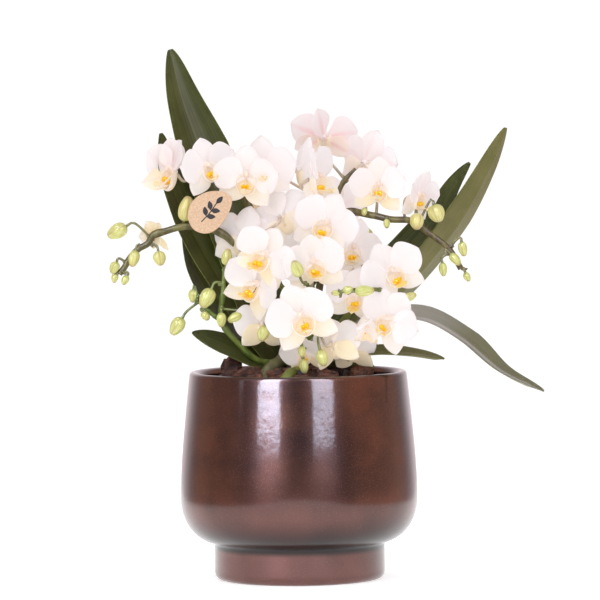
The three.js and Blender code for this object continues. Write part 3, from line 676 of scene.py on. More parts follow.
def bark_material():
    """Tone is (0, 0, light)."""
    paint = Paint("bark")
    light = paint.attribute("tone")[2]
    layers = paint.noise(220, 5, 0.65, stretch=(1, 1, 3))
    grit = paint.noise(1300, 3)
    dark = paint.cover((0.005, 0.003, 0.002), (0.032, 0.012, 0.008), layers, 0.38, 0.62)
    tan = paint.cover((0.045, 0.016, 0.009), (0.28, 0.105, 0.060), layers, 0.38, 0.62)
    colour = paint.cover(paint.mix(light, dark, tan), (0.34, 0.20, 0.14), grit, 0.62, 0.78, 0, 0.4)
    relief = paint.math("ADD", layers, paint.product(grit, 0.35))
    paint.set(Base_Color=colour, Roughness=0.7, Normal=paint.bump(relief, 1.0, 0.9))
    return paint.material


def kraft_material():
    paint = Paint("kraft")
    fibre = paint.noise(1100, 4, 0.6)
    cloud = paint.noise(260, 2)
    colour = paint.cover((0.70, 0.46, 0.30), (0.84, 0.60, 0.42), fibre, 0.35, 0.68)
    colour = paint.cover(colour, (0.62, 0.40, 0.26), cloud, 0.5, 0.75, 0, 0.25)
    paint.set(Base_Color=colour, Roughness=0.85, Normal=paint.bump(fibre, 0.06, 0.5))
    return paint.material


def ink_material():
    paint = Paint("dark_ink")
    paint.set(Base_Color=(0.012, 0.010, 0.009, 1), Roughness=0.7)
    return paint.material


def plastic_material():
    paint = Paint("clear_plastic")
    haze = paint.noise(140, 3)
    colour = paint.mix(haze, (0.72, 0.75, 0.73), (0.86, 0.88, 0.87))
    paint.set(Base_Color=colour, Roughness=paint.ramp(haze, 0.3, 0.7, 0.16, 0.3))
    paint.set(Transmission_Weight=0.75, IOR=1.45)
    return paint.material


def floor_material():
    """Pale and even, fading out towards the table's edge."""
    paint = Paint("floor")
    grain = paint.noise(300, 2)
    colour = paint.mix(grain, (0.86, 0.86, 0.86), (0.90, 0.90, 0.90))
    paint.set(Base_Color=colour, Roughness=0.9, Specular_IOR_Level=0.1)
    paint.set(Emission_Color=(1, 1, 1, 1), Emission_Strength=0.56)
    spread = paint.place((1 / TABLE[0], 1 / TABLE[1], 1))
    reach = paint.node("ShaderNodeVectorMath", {0: spread}, operation="LENGTH").outputs["Value"]
    clear = paint.node("ShaderNodeBsdfTransparent", {}).outputs[0]
    paint.mix_in(paint.ramp(reach, 0.5, 0.98), clear)
    return paint.material


GLAZE, PLASTIC, BARK = glaze_material(), plastic_material(), bark_material()
TEPAL, LIP, CALLUS, COLUMN = tepal_material(), lip_material(), callus_material(), column_material()
LEAF, STEM, BUD, ROOT = leaf_material(), stem_material(), bud_material(), root_material()
KRAFT, INK = kraft_material(), ink_material()


# Planter, grow pot and bark

def planter_profile():
    """Up the outside from the foot, over the rim and down the inside to the floor."""
    foot, belly, rim, top = FOOT_RADIUS, BELLY_RADIUS, RIM_RADIUS, POT_HEIGHT
    belly_in, rim_in = belly - POT_WALL, rim - POT_WALL
    neck = [foot + 1.4, FOOT_HEIGHT + 1.7]
    profile = [[NEAR_AXIS, 0], [foot - 12, 0], [foot - 4.4, 0]]
    profile += bezier([[foot - 4, 0], [foot, 0], [foot, 5]], 8)
    profile += [[foot, 9], [foot, 13], [foot, FOOT_HEIGHT - 0.6]]
    profile += bezier([[foot, FOOT_HEIGHT - 0.6], [foot, FOOT_HEIGHT + 0.9], neck], 4)
    profile += bezier([neck, [52, 20.2], [belly, 28], [belly, 42]], 18)
    profile += bezier([[belly, 42], [belly, 56], [57.6, 76], [rim + 0.6, 97]], 16)
    profile += bezier([[rim + 0.6, 97], [rim + 0.3, 100], [rim, 102.4]], 3)
    profile += bezier([[rim, 102.4], [rim - 0.1, top], [rim - 2, top]], 7)
    profile += bezier([[rim - 2, top], [rim_in, top], [rim_in, 101.5]], 7)
    profile += bezier([[rim_in, 101.5], [54.2, 76], [belly_in, 56], [belly_in, 42]], 12)
    profile += bezier([[belly_in, 42], [belly_in, 30], [50, 24], [foot - 3, 18]], 10)
    return profile + [[foot - 6, POT_FLOOR], [20, POT_FLOOR], [NEAR_AXIS, POT_FLOOR]]


def make_planter():
    shell = lathe(planter_profile(), 176)
    add_piece("planter_shell", [shell], [GLAZE], ["ceramic_planter"])


def make_grow_pot():
    bottom = POT_FLOOR + GAP
    top = bottom + GROW_POT_HEIGHT
    foot, rim, wall, neck = GROW_POT_FOOT, GROW_POT_RADIUS, GROW_POT_WALL, GROW_POT_NECK
    profile = [
        [NEAR_AXIS, bottom], [foot - 1.5, bottom], [foot, bottom + 1.5],
        [neck, top - 3], [rim - 0.5, top - 3], [rim, top - 2.5], [rim, top - 0.5],
        [rim - 0.5, top], [neck - wall + 0.4, top], [neck - wall, top - 0.4],
        [foot - wall, bottom + wall + 1], [NEAR_AXIS, bottom + wall],
    ]
    add_piece("grow_pot_cup", [lathe(profile, 120)], [PLASTIC], ["grow_pot"])


def bark_height(radius):
    """Height of the bark's surface at a distance from the planter's axis."""
    reaches = [0, 14, 30, 39, 43]
    heights = [BARK_CROWN, BARK_CROWN - 0.5, BARK_CROWN - 2.5, BARK_EDGE + 3.5, BARK_EDGE + 0.8]
    return float(np.interp(radius, reaches, heights))


def lump(size, roughness, seed):
    """A rough slab: a rounded box with broken sides."""
    rings, sides = 9, 12
    tilt = np.linspace(0.12, np.pi - 0.12, rings)[:, None]
    angle = circle(sides)[None, :]

    def boxed(wave):
        return np.sign(wave) * np.abs(wave) ** LUMP_SQUARENESS

    x = boxed(np.sin(tilt)) * boxed(np.cos(angle))
    y = boxed(np.sin(tilt)) * boxed(np.sin(angle))
    z = boxed(np.cos(tilt)) + 0 * angle
    points = np.stack([x, y, z], axis=-1) * np.array(size) / 2
    for spot in points.reshape(-1, 3):
        push = noise.noise_vector(Vector(spot) * 0.32 + Vector((seed * 7.3, 0, 0)))
        fine = noise.noise_vector(Vector(spot) * 0.9 + Vector((0, seed * 3.1, 0)))
        spot += (np.array(push) + 0.4 * np.array(fine)) * roughness
    return tube_skin(points, np.linspace(0, 1, sides))


def bark_lump(at, size, turn, tip, seed, light):
    skin = lump(size, LUMP_ROUGHNESS * min(size), seed).coloured((0, 0, light))
    return skin.turned(turning(1, tip)).turned(turning(2, turn)).moved(*at)


def bark_bed_skin():
    bottom = POT_FLOOR + 2 * GAP + GROW_POT_WALL
    low = GROW_POT_FOOT - GROW_POT_WALL - 2 * GAP
    high = GROW_POT_NECK - GROW_POT_WALL - 2 * GAP
    side = np.linspace([low, bottom], [high, BARK_EDGE + 0.1], 13).tolist()
    reaches = (40, 34, 28, 22, 16, 10, 5, NEAR_AXIS)
    dome = [[reach, bark_height(reach) - BED_SINK] for reach in reaches]
    return lathe([[NEAR_AXIS, bottom]] + side + dome, 72, (0, 0, 0.15))


# The chips that stand out: place, size, turn and tip
NAMED_CHIPS = [
    ((-33, -7, 106), (10, 8, 12), 20, 14),
    ((-25, -26, 104), (12, 8, 7), -35, -12),
    ((14, -31, 104), (13, 7, 6), 15, 10),
    ((31, -20, 104), (11, 9, 7), 60, -15),
    ((26, 22, 104), (14, 9, 6), -20, 12),
    ((-14, 30, 104), (13, 10, 6), 40, -10),
]


def make_bark():
    rng = random.Random(BARK_SEED)
    noise.seed_set(BARK_SEED)
    loose = [bark_bed_skin()]
    for i in range(LOOSE_LUMPS):
        radius = LUMP_REACH * math.sqrt(rng.uniform(0.0, 0.93))
        angle = rng.uniform(0, 2 * math.pi)
        size = [rng.uniform(6, 12), rng.uniform(5, 8), rng.uniform(3, 5.5)]
        height = bark_height(radius) + rng.uniform(-1.5, 1.2)
        at = [radius * math.cos(angle), radius * math.sin(angle), height]
        light = rng.uniform(0, 1) ** 3
        turn, tip = rng.uniform(0, 360), rng.uniform(-28, 28)
        loose.append(bark_lump(at, size, turn, tip, i, light))
    add_piece("bark_mix", loose, [BARK], ["bark_bed"], flat=True)
    for i, chip in enumerate(NAMED_CHIPS):
        node = f"bark_chip_{i + 1}"
        skin = bark_lump(*chip, CHIP_SEED + i, 0.35 + 0.1 * i)
        add_piece(node + "_lump", [skin], [BARK], [node], flat=True)


# Leaves. face is where the upper side looks, fold the valley's depth and warm how yellow the green
# is. sheen_share is a painted grey sheen, a painted highlight, which fade takes off the outer half;
# band is a stripe of that painted sheen at sheen_stripe_at across the blade.

LEAVES = {
    "leaf_tall_left": {
        "width": 28, "face": (0.36, -0.9, 0.15), "fold": 0.34, "warm": 0.14, "band": 0.13, "sheen_stripe_at": 0.14,
        "spine": ((-7, 3, 110), (-18, 9, 135), (-29, 13, 165), (-40, 15, 194), (-50, 14, 220),
                  (-58, 10, 244), (-63, 5, 267)),
    },
    "leaf_dark_left": {
        "width": 23, "face": (0.62, -0.7, 0.3), "fold": 0.4, "warm": 0.12,
        "spine": ((-8, 0, 108), (-25, 2, 129), (-39, 4, 150), (-51, 5, 171), (-60, 4, 190), (-66, 2, 207),
                  (-68, -1, 225)),
    },
    "leaf_back_left": {
        "width": 21, "face": (0.5, -0.5, 0.6), "fold": 0.34, "warm": 0.18,
        "spine": ((-8, 4, 107), (-26, 8, 121), (-41, 11, 137), (-52, 13, 155), (-58, 14, 173)),
    },
    "leaf_small_left": {
        "width": 17, "face": (0.2, -0.6, 0.8), "fold": 0.2, "warm": 0.14,
        "spine": ((-8, -4, 105), (-20, -8, 110.5), (-32, -11, 116), (-43, -12, 121), (-53, -12, 125)),
    },
    "leaf_large_right": {
        "width": 27, "face": (-0.55, 0.5, 0.66), "fold": 0.13, "warm": 0.24,
        "spine": ((7, 3, 107), (27, 8, 121), (47, 12, 138), (65, 14, 157), (82, 14, 179), (95, 11, 202),
                  (106, 6, 226)),
    },
    "leaf_dark_right": {
        "width": 24, "face": (-0.62, -0.6, 0.5), "fold": 0.34, "warm": 0,
        "spine": ((6, 6, 108), (20, 14, 126), (38, 20, 145), (57, 24, 163), (73, 26, 181), (81, 25, 196),
                  (88.5, 22, 208)),
    },
    "leaf_drooping_right": {
        "width": 15.5, "face": (0.1, -0.42, 0.9), "fold": 0.38, "warm": 0.55,
        "sheen_share": 0.95, "fade": 0.85, "band": 0.75, "sheen_stripe_at": 0.5,
        "spine": ((8, -2, 107), (24, -4, 120), (44, -7, 130), (64, -10, 131), (84, -12, 120),
                  (103, -14, 104), (123, -15, 94)),
    },
    "leaf_low_right": {
        "width": 14, "face": (0, -0.3, 0.95), "fold": 0.26, "warm": 0.75, "sheen_share": 0.02,
        "spine": ((8, -5, 105), (22, -12, 111.5), (38, -18, 114.5), (55, -22, 114), (73, -26, 111.5)),
    },
}


def leaf_width(share):
    belly = np.sin(np.pi * (0.04 + 0.955 * share) ** 0.85) ** 0.55
    return np.minimum(1, 0.42 * (1 - share) + belly)


def leaf_skin(spec, seed):
    rng = random.Random(seed)
    end = 0.5 - 0.5 * np.cos(np.linspace(0.25 * np.pi, np.pi, LEAF_ROWS))
    share = (end - end[0]) / (end[-1] - end[0])
    along, across = np.meshgrid(share, np.linspace(-1, 1, LEAF_COLUMNS), indexing="ij")
    curve = Curve(spec["spine"])
    tangent = curve.tangent(along)
    sideways = unit(np.cross(tangent, unit(np.array(spec["face"], float))))
    normal = np.cross(sideways, tangent)
    half = spec["width"] / 2 * leaf_width(along)
    valley = np.sqrt(across ** 2 + 0.004) - 0.063
    ripple = sum(
        rng.uniform(0.1, 0.35) * np.sin(along * rng.uniform(6, 22) + rng.uniform(0, 6) + across)
        for _ in range(3)
    )
    lift = spec["fold"] * half * valley + ripple * across ** 2
    edge = np.sqrt(np.clip(1 - across ** 2, 0, 1)) * np.minimum(1, (1 - along) * 14 + 0.05)
    body = LEAF_THICKNESS / 2 * edge * (1.15 - 0.4 * np.abs(across))
    keel = 1 + 0.5 * np.exp(-(across / 0.12) ** 2)
    middle = curve.at(along) + sideways * (across * half)[..., None]
    front = middle + normal * (lift + body)[..., None]
    back = middle + normal * (lift - body * keel)[..., None]
    close_ends(front, back)
    skin = sheet_skin(front, back, across, along, (spec["warm"], 0, rng.uniform(0, 9)))
    # The second tone number is a painted grey sheen: an even share that fade takes off the outer half,
    # plus a stripe of it across the blade.
    band = np.exp(-((skin.pattern[:, 0] - spec.get("sheen_stripe_at", 0)) / 0.28) ** 2)
    fade = 1 - spec.get("fade", 0) * smooth(skin.pattern[:, 1], 0.35, 0.7)
    skin.tone[:, 1] = spec.get("sheen_share", 0) * fade + spec.get("band", 0) * band
    return skin


def make_leaves():
    for i, (node, spec) in enumerate(LEAVES.items()):
        add_piece(node + "_blade", [leaf_skin(spec, LEAF_SEED + i)], [LEAF], [node])


# Crown stem and roots

def make_crown():
    profile = [[0.3, 101], [8, 101], [8.2, 104], [7.4, 106.5], [7.9, 107], [7.2, 110], [6.4, 112.5]]
    profile += [[6.8, 113], [6, 115.5], [4.4, 116.8], [0.3, 117]]
    skin = lathe(profile, 40, (0.55, 0, 0))
    add_piece("crown_stub", [skin], [STEM], ["crown_stem"])


ROOTS = {
    "root_left": {"radius": 3, "green": 0.25,
        "points": ((-4, -6, 114), (-10, -13, 110), (-17, -20, 104), (-21, -24, 98))},
    "root_front": {"radius": 2.6, "green": 1,
        "points": ((1, -8, 108), (2, -21, 106.5), (-4, -32, 105), (-10, -37, 99))},
    "root_right": {"radius": 2.1, "green": 0.6,
        "points": ((7, -3, 110), (20, -9, 108), (30, -13, 109), (38, -15, 107))},
    "root_back": {"radius": 2.4, "green": 0.3,
        "points": ((1, 8, 108), (10, 19, 107), (16, 29, 105), (18, 36, 98))},
}


def make_roots():
    for i, (node, spec) in enumerate(ROOTS.items()):
        rng = random.Random(ROOT_SEED + i)
        bends = [rng.uniform(0, 6) for _ in range(3)]

        def radius(share):
            knots = 0.08 * np.sin(share * 17 + bends[0]) + 0.05 * np.sin(share * 31 + bends[1])
            tip = np.sqrt(np.clip((1.02 - share) * 9, 0, 1))
            return spec["radius"] * (1 + knots) * tip

        skin = tube(spec["points"], radius, 16, 44, (spec["green"], 0, bends[2]))
        add_piece(node + "_skin", [skin], [ROOT], [node])


# Flowers

class Flower:
    """One open flower. It turns to the right, nods downward and rolls clockwise, in degrees."""

    def __init__(self, number, spike, at, turns, size, lean=FORWARD_LEAN):
        turn, nod, roll = turns
        self.matrix = turning(2, turn) @ turning(0, nod) @ turning(1, roll)
        self.at = np.array(at, float)
        self.number, self.spike, self.size, self.lean = number, spike, size, lean

    def place(self, point):
        return self.matrix @ (np.array(point, float) * self.size) + self.at


# A row is spike, where the tepals meet, (turn, nod, roll), size and, where it isn't usual, the lean
FLOWER_ROWS = [
    ("left", (-61, -8, 205), (-48, -6, 0), 1),
    ("left", (-45, -14, 208.5), (22, 5, -18), 0.9),
    ("left", (-25, -16, 202.9), (0, 5, 5), 1),
    ("left", (-16.8, -9, 206.3), (4, -6, -2), 1),
    ("right", (8, -20, 202), (56, 0, 0), 1),
    ("right", (14, 8, 221.5), (176, -30, 6), 1),
    ("right", (34, 4, 208.5), (140, -12, -20), 1.05),
    ("right", (41, -14, 197.5), (0, 0, 2), 0.87),
    ("right", (60, -8, 192.5), (52, 12, 14), 0.8),
    ("front", (15, -30, 179.5), (-8, 4, 24), 1),
    ("front", (-15, -38, 164.8), (-28, 8, 38), 1),
    ("front", (-19.5, -28, 149.3), (-34, 4, 34), 1),
    ("front", (8, -38, 160.8), (5, 8, -12), 0.98),
    ("front", (2, -48, 134.5), (0, 4, -20), 1.06),
    ("right_low", (46, -30, 155.8), (22, 6, -32), 1),
    ("right_low", (46.5, -36, 131.8), (-22, 4, 35), 1),
    ("right_low", (30, -28, 144.8), (-10, 18, 14), 0.95),
    ("right_low", (28, -12, 166.5), (5, 5, 10), 0.9),
    ("right_low", (34, -32, 128.5), (10, 20, 10), 0.62, 62),
    ("front", (17, -36, 120.5), (150, 15, 18), 0.85),
    ("left", (-8, -16, 182.5), (160, 6, 29), 0.98),
    ("left", (-27, -14, 172), (172, 0, -12), 1),
    ("front", (-17, -22, 129.5), (205, 10, 0), 0.85),
    ("front", (3, -30, 116.5), (-20, 35, -10), 0.72),
    ("right_low", (27, -24, 115.5), (160, -20, 0), 0.72),
    ("back", (-20, 32, 190.5), (195, 0, -8), 0.95),
    ("back", (18, 36, 184.5), (165, 2, 6), 1),
    ("back", (-4, 42, 162.5), (184, 5, 12), 0.95),
    ("back", (30, 34, 154.5), (150, 6, -10), 0.9),
    ("right", (1, -6, 206), (112, 0, -4), 0.95),
]


FLOWERS = [Flower(i + 1, *row) for i, row in enumerate(FLOWER_ROWS)]


def blade_outline(shape, share):
    """Half the width of a blade: a claw, a round belly and a blunt point."""
    ahead = np.clip((share - shape.widest) / (1 - shape.widest), 0, 1)
    behind = np.clip(1 - share / shape.widest, 0, 1)
    outline = (1 - ahead ** shape.round) ** 0.85 * (1 - behind ** 2) ** 0.7
    return shape.width / 2 * outline * (shape.claw + (1 - shape.claw) * smooth(share, 0, 0.4))


def blade(shape, thickness, rows, columns, rng, wave=0.35):
    """A thin sheet that grows along +Z from the origin, its face towards -Y."""
    share = 0.5 - 0.5 * np.cos(np.linspace(0.05 * np.pi, np.pi, rows))
    edges = np.sin(np.linspace(-0.5 * np.pi, 0.5 * np.pi, columns))
    along, across = np.meshgrid(np.clip(share, 0.004, 0.9995), edges, indexing="ij")
    swell = 1 + 0.05 * np.sin(along * 7 + rng.uniform(0, 6)) * np.sign(across)
    ripple = wave * np.sin(along * rng.uniform(5, 9) + rng.uniform(0, 6)) * across ** 2 * np.sign(across)
    ripple = ripple + wave * 0.6 * np.sin(along * rng.uniform(9, 14) + rng.uniform(0, 6)) * across ** 2
    groove = shape.groove * np.exp(-(across / 0.1) ** 2) * smooth(along, 0, 0.3) * (1 - along)
    forward = shape.cup * across ** 2 + shape.bend * along ** 2 + ripple * smooth(along, 0.1, 0.5)
    edge = thickness / 2 * np.sqrt(1 - across ** 8) * (1 - along ** 12)
    x = across * blade_outline(shape, along) * swell
    z = along * shape.length
    front = np.stack([x, groove - forward - edge, z], axis=-1)
    back = np.stack([x, groove - forward + edge, z], axis=-1)
    close_ends(front, back)
    return sheet_skin(front, back, across, along)


def varied(shape, rng, amount=1.0):
    """The same shape with its own small differences."""
    return shape._replace(
        length=shape.length * (1 + amount * rng.uniform(-0.04, 0.04)),
        width=shape.width * (1 + amount * rng.uniform(-0.06, 0.06)),
        cup=shape.cup + amount * rng.uniform(-2.0, 0.8),
        bend=shape.bend + amount * rng.uniform(-2.4, 1.8),
    )


def tepal_skins(lean, rng, warm, blush, poses):
    """Five tepals: dorsal sepal, two lower sepals, two petals. A pose is (angle, twist, forward)."""
    parts = [(DORSAL, 0, 0.18), (LATERAL, 0, 1), (LATERAL, 0, 1)]
    parts += [(PETAL, PETAL_STANDOFF, 0.05), (PETAL, PETAL_STANDOFF, 0.05)]
    skins = []
    for (shape, standoff, cream), (angle, twist, forward) in zip(parts, poses):
        if lean > HALF_OPEN_LEAN:
            shape = shape._replace(cup=HALF_OPEN_CUP, bend=HALF_OPEN_BEND)
        skin = blade(varied(shape, rng), TEPAL_THICKNESS, TEPAL_ROWS, TEPAL_COLUMNS, rng)
        skin.coloured((warm * cream, blush, rng.uniform(0, 9)))
        skin.turned(turning(2, twist + rng.uniform(-9, 9)))
        skin.turned(turning(0, lean + forward + rng.uniform(-5, 5)))
        skin.turned(turning(1, angle + rng.uniform(-4, 4)))
        skins.append(skin.moved(y=-standoff))
    return skins


def cup_skin():
    """The side lobes of the lip: a round cup that opens forwards, with a gap at its top."""
    gap = math.radians(LIP_GAP)
    rows = np.clip(0.5 - 0.5 * np.cos(np.linspace(0, np.pi, CUP_ROWS)), 0, 0.985)
    sweep = np.linspace(gap - np.pi, np.pi - gap, CUP_COLUMNS)
    along, angle = np.meshgrid(rows, sweep, indexing="ij")
    reach = np.cos(along * np.pi / 2) ** 0.55 * (1 - 0.07 * (1 - along) ** 6)
    ears = 1.3 * np.sin(angle) ** 2 - 0.9 * np.cos(angle) - 1.2 * smooth(np.abs(angle), 2.0, 2.7)
    x = LIP_WIDTH / 2 * reach * np.sin(angle)
    y = LIP_DEPTH * np.sin(along * np.pi / 2) - ears * (1 - along)
    z = -LIP_HEIGHT / 2 * reach * np.cos(angle)
    middle = np.stack([x, y, z], axis=-1)
    normal = unit(np.cross(np.gradient(middle, axis=0), np.gradient(middle, axis=1)) + [0, 1e-9, 0])
    body = LOBE_THICKNESS / 2 * np.sqrt(np.clip(along / 0.02, 0, 1))[..., None]
    inner, outer = middle - normal * body, middle + normal * body
    for border in (np.s_[0, :], np.s_[-1, :], np.s_[:, 0], np.s_[:, -1]):
        inner[border] = outer[border] = middle[border]
    skin = sheet_skin(inner, outer, angle / np.pi, along)
    return skin.turned(turning(0, LIP_TILT)).moved(y=-4.2, z=-3.1)


def lobe_skins(rng):
    """The lip: a cup, a trowel whose tip turns up, and two tendrils on that tip."""
    cup = cup_skin().coloured((0.1, 1.0, rng.uniform(0, 9)))
    shape = varied(MID_LOBE, rng, 0.4)
    front = blade(shape, LOBE_THICKNESS * 1.2, 17, 13, rng, 0.1)
    front.pattern[:, 1] *= 0.2
    front.coloured((0.8, 0.0, rng.uniform(0, 9)))
    front.turned(turning(2, 180)).turned(turning(0, 106)).turned(turning(2, rng.uniform(-8, 8)))
    skins = [cup, front.moved(y=-3.6, z=-6.6)]
    y, z = -12.0, shape.bend - 9.1
    for side in (1, -1):
        points = [[0, y, z - 0.6], [0.9 * side, y + 0.2, z + 0.9], [1.7 * side, y + 1.1, z + 1.5]]
        curl = tube(points, lambda share: 0.3 - 0.14 * share, 6, 9, (1, 0, 0))
        curl.pattern[:, 1] = 0
        skins.append(curl)
    cup.points[:, 0] *= rng.uniform(0.84, 1.02)
    cup.turned(turning(1, rng.uniform(-9, 9)))
    return skins


def column_skins(rng):
    """The column, a rounded hook over the lip, and the callus at the foot of the lip."""
    def waist(share):
        return 1.2 + 0.6 * np.sin(np.pi * share ** 1.6) ** 2

    def dome(share):
        return 1.25 * np.sqrt(1.001 - share ** 2)

    hook = tube([[0, 1.2, 0.4], [0, -1.8, 1.3], [0, -4.0, 1.9], [0, -5.2, 1.5]], waist, 16, 18, paint=1)
    cap = tube([[0, -4.4, 2.0], [0, -5.5, 1.5], [0, -6.0, 0.6]], dome, 14, 10, paint=1)
    cap.pattern[:, 1] = 1
    skins = [hook, cap]
    for side in (1, -1):
        size = rng.uniform(0.95, 1.6)

        def knob(share):
            return size * np.sqrt(np.clip(1.01 - (2 * share - 1) ** 4, 0, 1))

        points = [[0.9 * side, -3.0, -5.6], [1.0 * side, -4.8, -4.4 + rng.uniform(-0.4, 0.8)],
                  [1.1 * side, -6.0 - rng.uniform(0, 0.9), -4.6 + rng.uniform(-0.5, 0.5)]]
        skins.append(tube(points, knob, 12, 11, paint=2))
    return skins


# By the flower's number: how cream its lower sepals are, how pink it is, and its tepals' poses
WARMTH = {1: 1.4, 3: 0.8, 6: 0.5, 8: 1.4, 11: 1.4, 12: 1.2, 13: 0.9, 14: 0.9, 19: 2.4, 20: 2.2,
          23: 2, 24: 2.2, 25: 2.2}
BLUSH = {1: 0.34, 6: 0.62, 7: 0.28, 9: 0.25, 26: 0.15, 27: 0.25}
USUAL_WARMTH = 0.45
USUAL_BLUSH = 0.04
TEPAL_POSES = [(angle, 0, 0) for angle in (0, LATERAL_ANGLE, -LATERAL_ANGLE, PETAL_ANGLE, -PETAL_ANGLE)]
OWN_POSES = {
    1: ((-12, 50, 0), (150, 0, 45), (-120, 0, 20), (20, -22, 0), (-50, 0, 0)),
    5: ((-6, 20, 0), (128, 0, 0), (-158, 0, 0), (34, 0, 0), (-42, 30, 0)),
    6: ((-4, 44, -10), (116, 0, 0), (-136, 0, 0), (64, 0, 0), (-94, 0, 0)),
}


def make_flower(flower):
    number = flower.number
    rng = random.Random(FLOWER_SEED + number)
    warm, blush = WARMTH.get(number, USUAL_WARMTH), BLUSH.get(number, USUAL_BLUSH)
    tepals = tepal_skins(flower.lean, rng, warm, blush, OWN_POSES.get(number, TEPAL_POSES))
    heart = column_skins(rng)
    if flower.lean <= HALF_OPEN_LEAN:
        heart = lobe_skins(rng) + heart
    for skin in tepals + heart:
        skin.points = skin.points * flower.size
        skin.turned(flower.matrix).moved(*flower.at)
    node = f"flower_{number:02d}"
    add_piece(node + "_tepals", tepals, [TEPAL], [node])
    add_piece(node + "_lip", heart, [LIP, COLUMN, CALLUS], [node])


# Flower spikes: a main stem with side branches, pedicels and buds.
# A bud is (centre, (length, width), the way it hangs) and, where it isn't chance, how ripe it is.

SPIKES = {
    "left": {"radius": 2.1, "warm": 0.8, "stems": [
        ((-5, -4, 112), (-13, -7, 136), (-24, -10, 160), (-38, -12, 175), (-55, -13, 178.5),
         (-66, -13, 176), (-72, -13, 174), (-74.5, -13, 170), (-79, -13, 167.5), (-83.5, -13, 163),
         (-86.5, -13, 158), (-89, -13, 155)),
        ((-22, -10, 157), (-22, -9, 175), (-26, -8, 192), (-36, -4, 202), (-50, -2, 206)),
    ], "buds": [
        ((-89.5, -14, 176.4), (10, 7.8), (-0.85, 0, -0.45), 0.5),
        ((-81.5, -15, 162.8), (8, 5.6), (-0.25, -0.2, -0.95), 0.6),
        ((-68.7, -15, 162.8), (7, 6.4), (0.2, -0.2, -0.95), 0.7),
        ((-91.3, -14, 158.3), (6, 5), (-0.4, 0, -0.9)),
        ((-91.3, -12, 153), (4.8, 3.6), (-0.2, 0.2, -0.95)),
        ((-86, -15, 152), (4.8, 3.8), (-0.4, -0.2, -0.85)),
        ((-55.2, -13, 187), (12, 8), (0.2, -0.1, 0.96), 1),
    ], "opening": [
        ((-71.2, -9, 174.5), (4, 4), (0, 0, 1)),
    ]},
    "right": {"radius": 2, "warm": 0.9, "stems": [
        ((5, -3, 112), (10, -5, 140), (15, -7, 165), (24, -9, 184), (38, -11, 183), (47, -13, 181),
         (58, -14, 180), (66, -15, 174), (76, -15, 166), (82, -15, 156)),
        ((16, -7, 168), (19, -4, 188), (24, -2, 200), (30, -1, 206)),
    ], "buds": [
        ((60, -17, 180), (8, 7.2), (0, -0.5, -0.85), 1),
        ((70, -14, 184), (8.6, 8.6), (0.3, 0, -0.95), 0.8),
        ((83, -15, 166), (7, 4.6), (0.2, 0, -0.98)),
        ((79, -17, 161), (7, 4.6), (0.6, -0.2, -0.7)),
        ((73, -16, 156), (6.6, 4.2), (0.1, 0, -1)),
        ((85, -15, 152), (4.6, 3.6), (0.4, 0, -0.9)),
        ((34, -14, 185), (4, 3), (-0.2, -0.3, -0.9)),
        ((45, -16, 179), (4.6, 3.4), (0, -0.4, -0.9)),
    ]},
    "front": {"radius": 1.8, "warm": 0.2, "stems": [
        ((0, -6, 112), (3, -13, 130), (4, -18, 150), (4, -20, 168), (8, -18, 182)),
        ((3, -15, 136), (-6, -16, 146), (-14, -18, 156), (-18, -22, 164)),
        ((1, -10, 120), (5, -17, 121), (10, -22, 126), (8, -30, 143), (5, -42, 150)),
    ], "buds": [
        ((0, -49, 158), (8.4, 6.2), (-0.35, -0.3, 0.9)),
        ((-17, -40, 126), (7.6, 6.2), (-0.3, -0.2, -0.9)),
        ((12, -46, 114), (8, 5.6), (0.25, -0.2, -0.95)),
        ((2, -44, 117), (5.4, 3.8), (0, -0.2, -0.98)),
        ((3, -40, 109.5), (7, 4.6), (0.1, -0.2, -0.97)),
    ]},
    "right_low": {"radius": 1.7, "warm": 0.25, "stems": [
        ((6, -6, 110), (16, -12, 122), (27, -17, 136), (36, -19, 150), (42, -17, 162)),
        ((27, -17, 136), (38, -22, 141), (42, -34, 146), (36, -45, 147.5), (24, -47, 147), (19, -47, 146)),
    ], "buds": [
        ((33, -50, 147), (9, 5.6), (0.98, -0.1, 0.05)),
        ((25, -49, 147.5), (5, 4.2), (0.9, -0.2, 0.2)),
        ((19, -48, 146), (4, 3), (-0.9, -0.2, 0)),
        ((56, -30, 143), (6, 4.4), (0.8, 0, 0.3)),
    ]},
    "green_left": {"radius": 1.6, "warm": 0, "stems": [
        ((-7, -6, 109), (-20, -12, 111), (-30, -15, 120), (-38, -17, 131), (-37, -18, 146),
         (-36, -17, 158)),
        ((-38, -17, 131), (-43, -19, 135), (-49, -20, 141)),
    ], "buds": [
        ((-60, -20, 129), (9.4, 7.2), (-0.55, 0, -0.85)),
        ((-45, -22, 143), (10, 7.6), (-0.45, -0.2, -0.85)),
        ((-52, -18, 144), (6.4, 5), (-0.1, 0.1, -0.98)),
        ((-46, -19, 134), (5, 4.4), (0.5, -0.2, -0.7)),
        ((-38, -22, 132), (7, 5), (0, -0.3, -0.95)),
        ((-31, -22, 133), (7.4, 5.2), (-0.85, -0.2, -0.4)),
        ((-35, -19, 163), (8, 5.4), (0.15, -0.2, 0.95)),
    ]},
    "back": {"radius": 1.8, "warm": 0.4, "stems": [
        ((1, 6, 112), (4, 14, 134), (6, 21, 158), (4, 24, 178), (-8, 22, 192)),
        ((5, 17, 144), (14, 22, 156), (20, 24, 170)),
    ], "buds": [
        ((-24, 30, 176), (8, 6), (-0.5, 0.3, -0.8)),
        ((36, 32, 172), (8, 6), (0.6, 0.3, -0.6)),
    ]},
}

# The opening bud's tepals: angle, lean, length, width and warmth
OPENING_TEPALS = (
    (-98, 12, 8.6, 8, 0.9), (-30, 20, 9, 7.4, 1.6), (20, -12, 6, 5, 1.6), (-176, 22, 8.4, 6.6, 1.8),
    (140, -16, 10.5, 3.4, 1.8),
)


def nearest_on_stems(curves, target):
    places = np.vstack([curve.at(np.linspace(0, 1, 61)) for curve in curves])
    return places[np.argmin(np.linalg.norm(places - target, axis=1))]


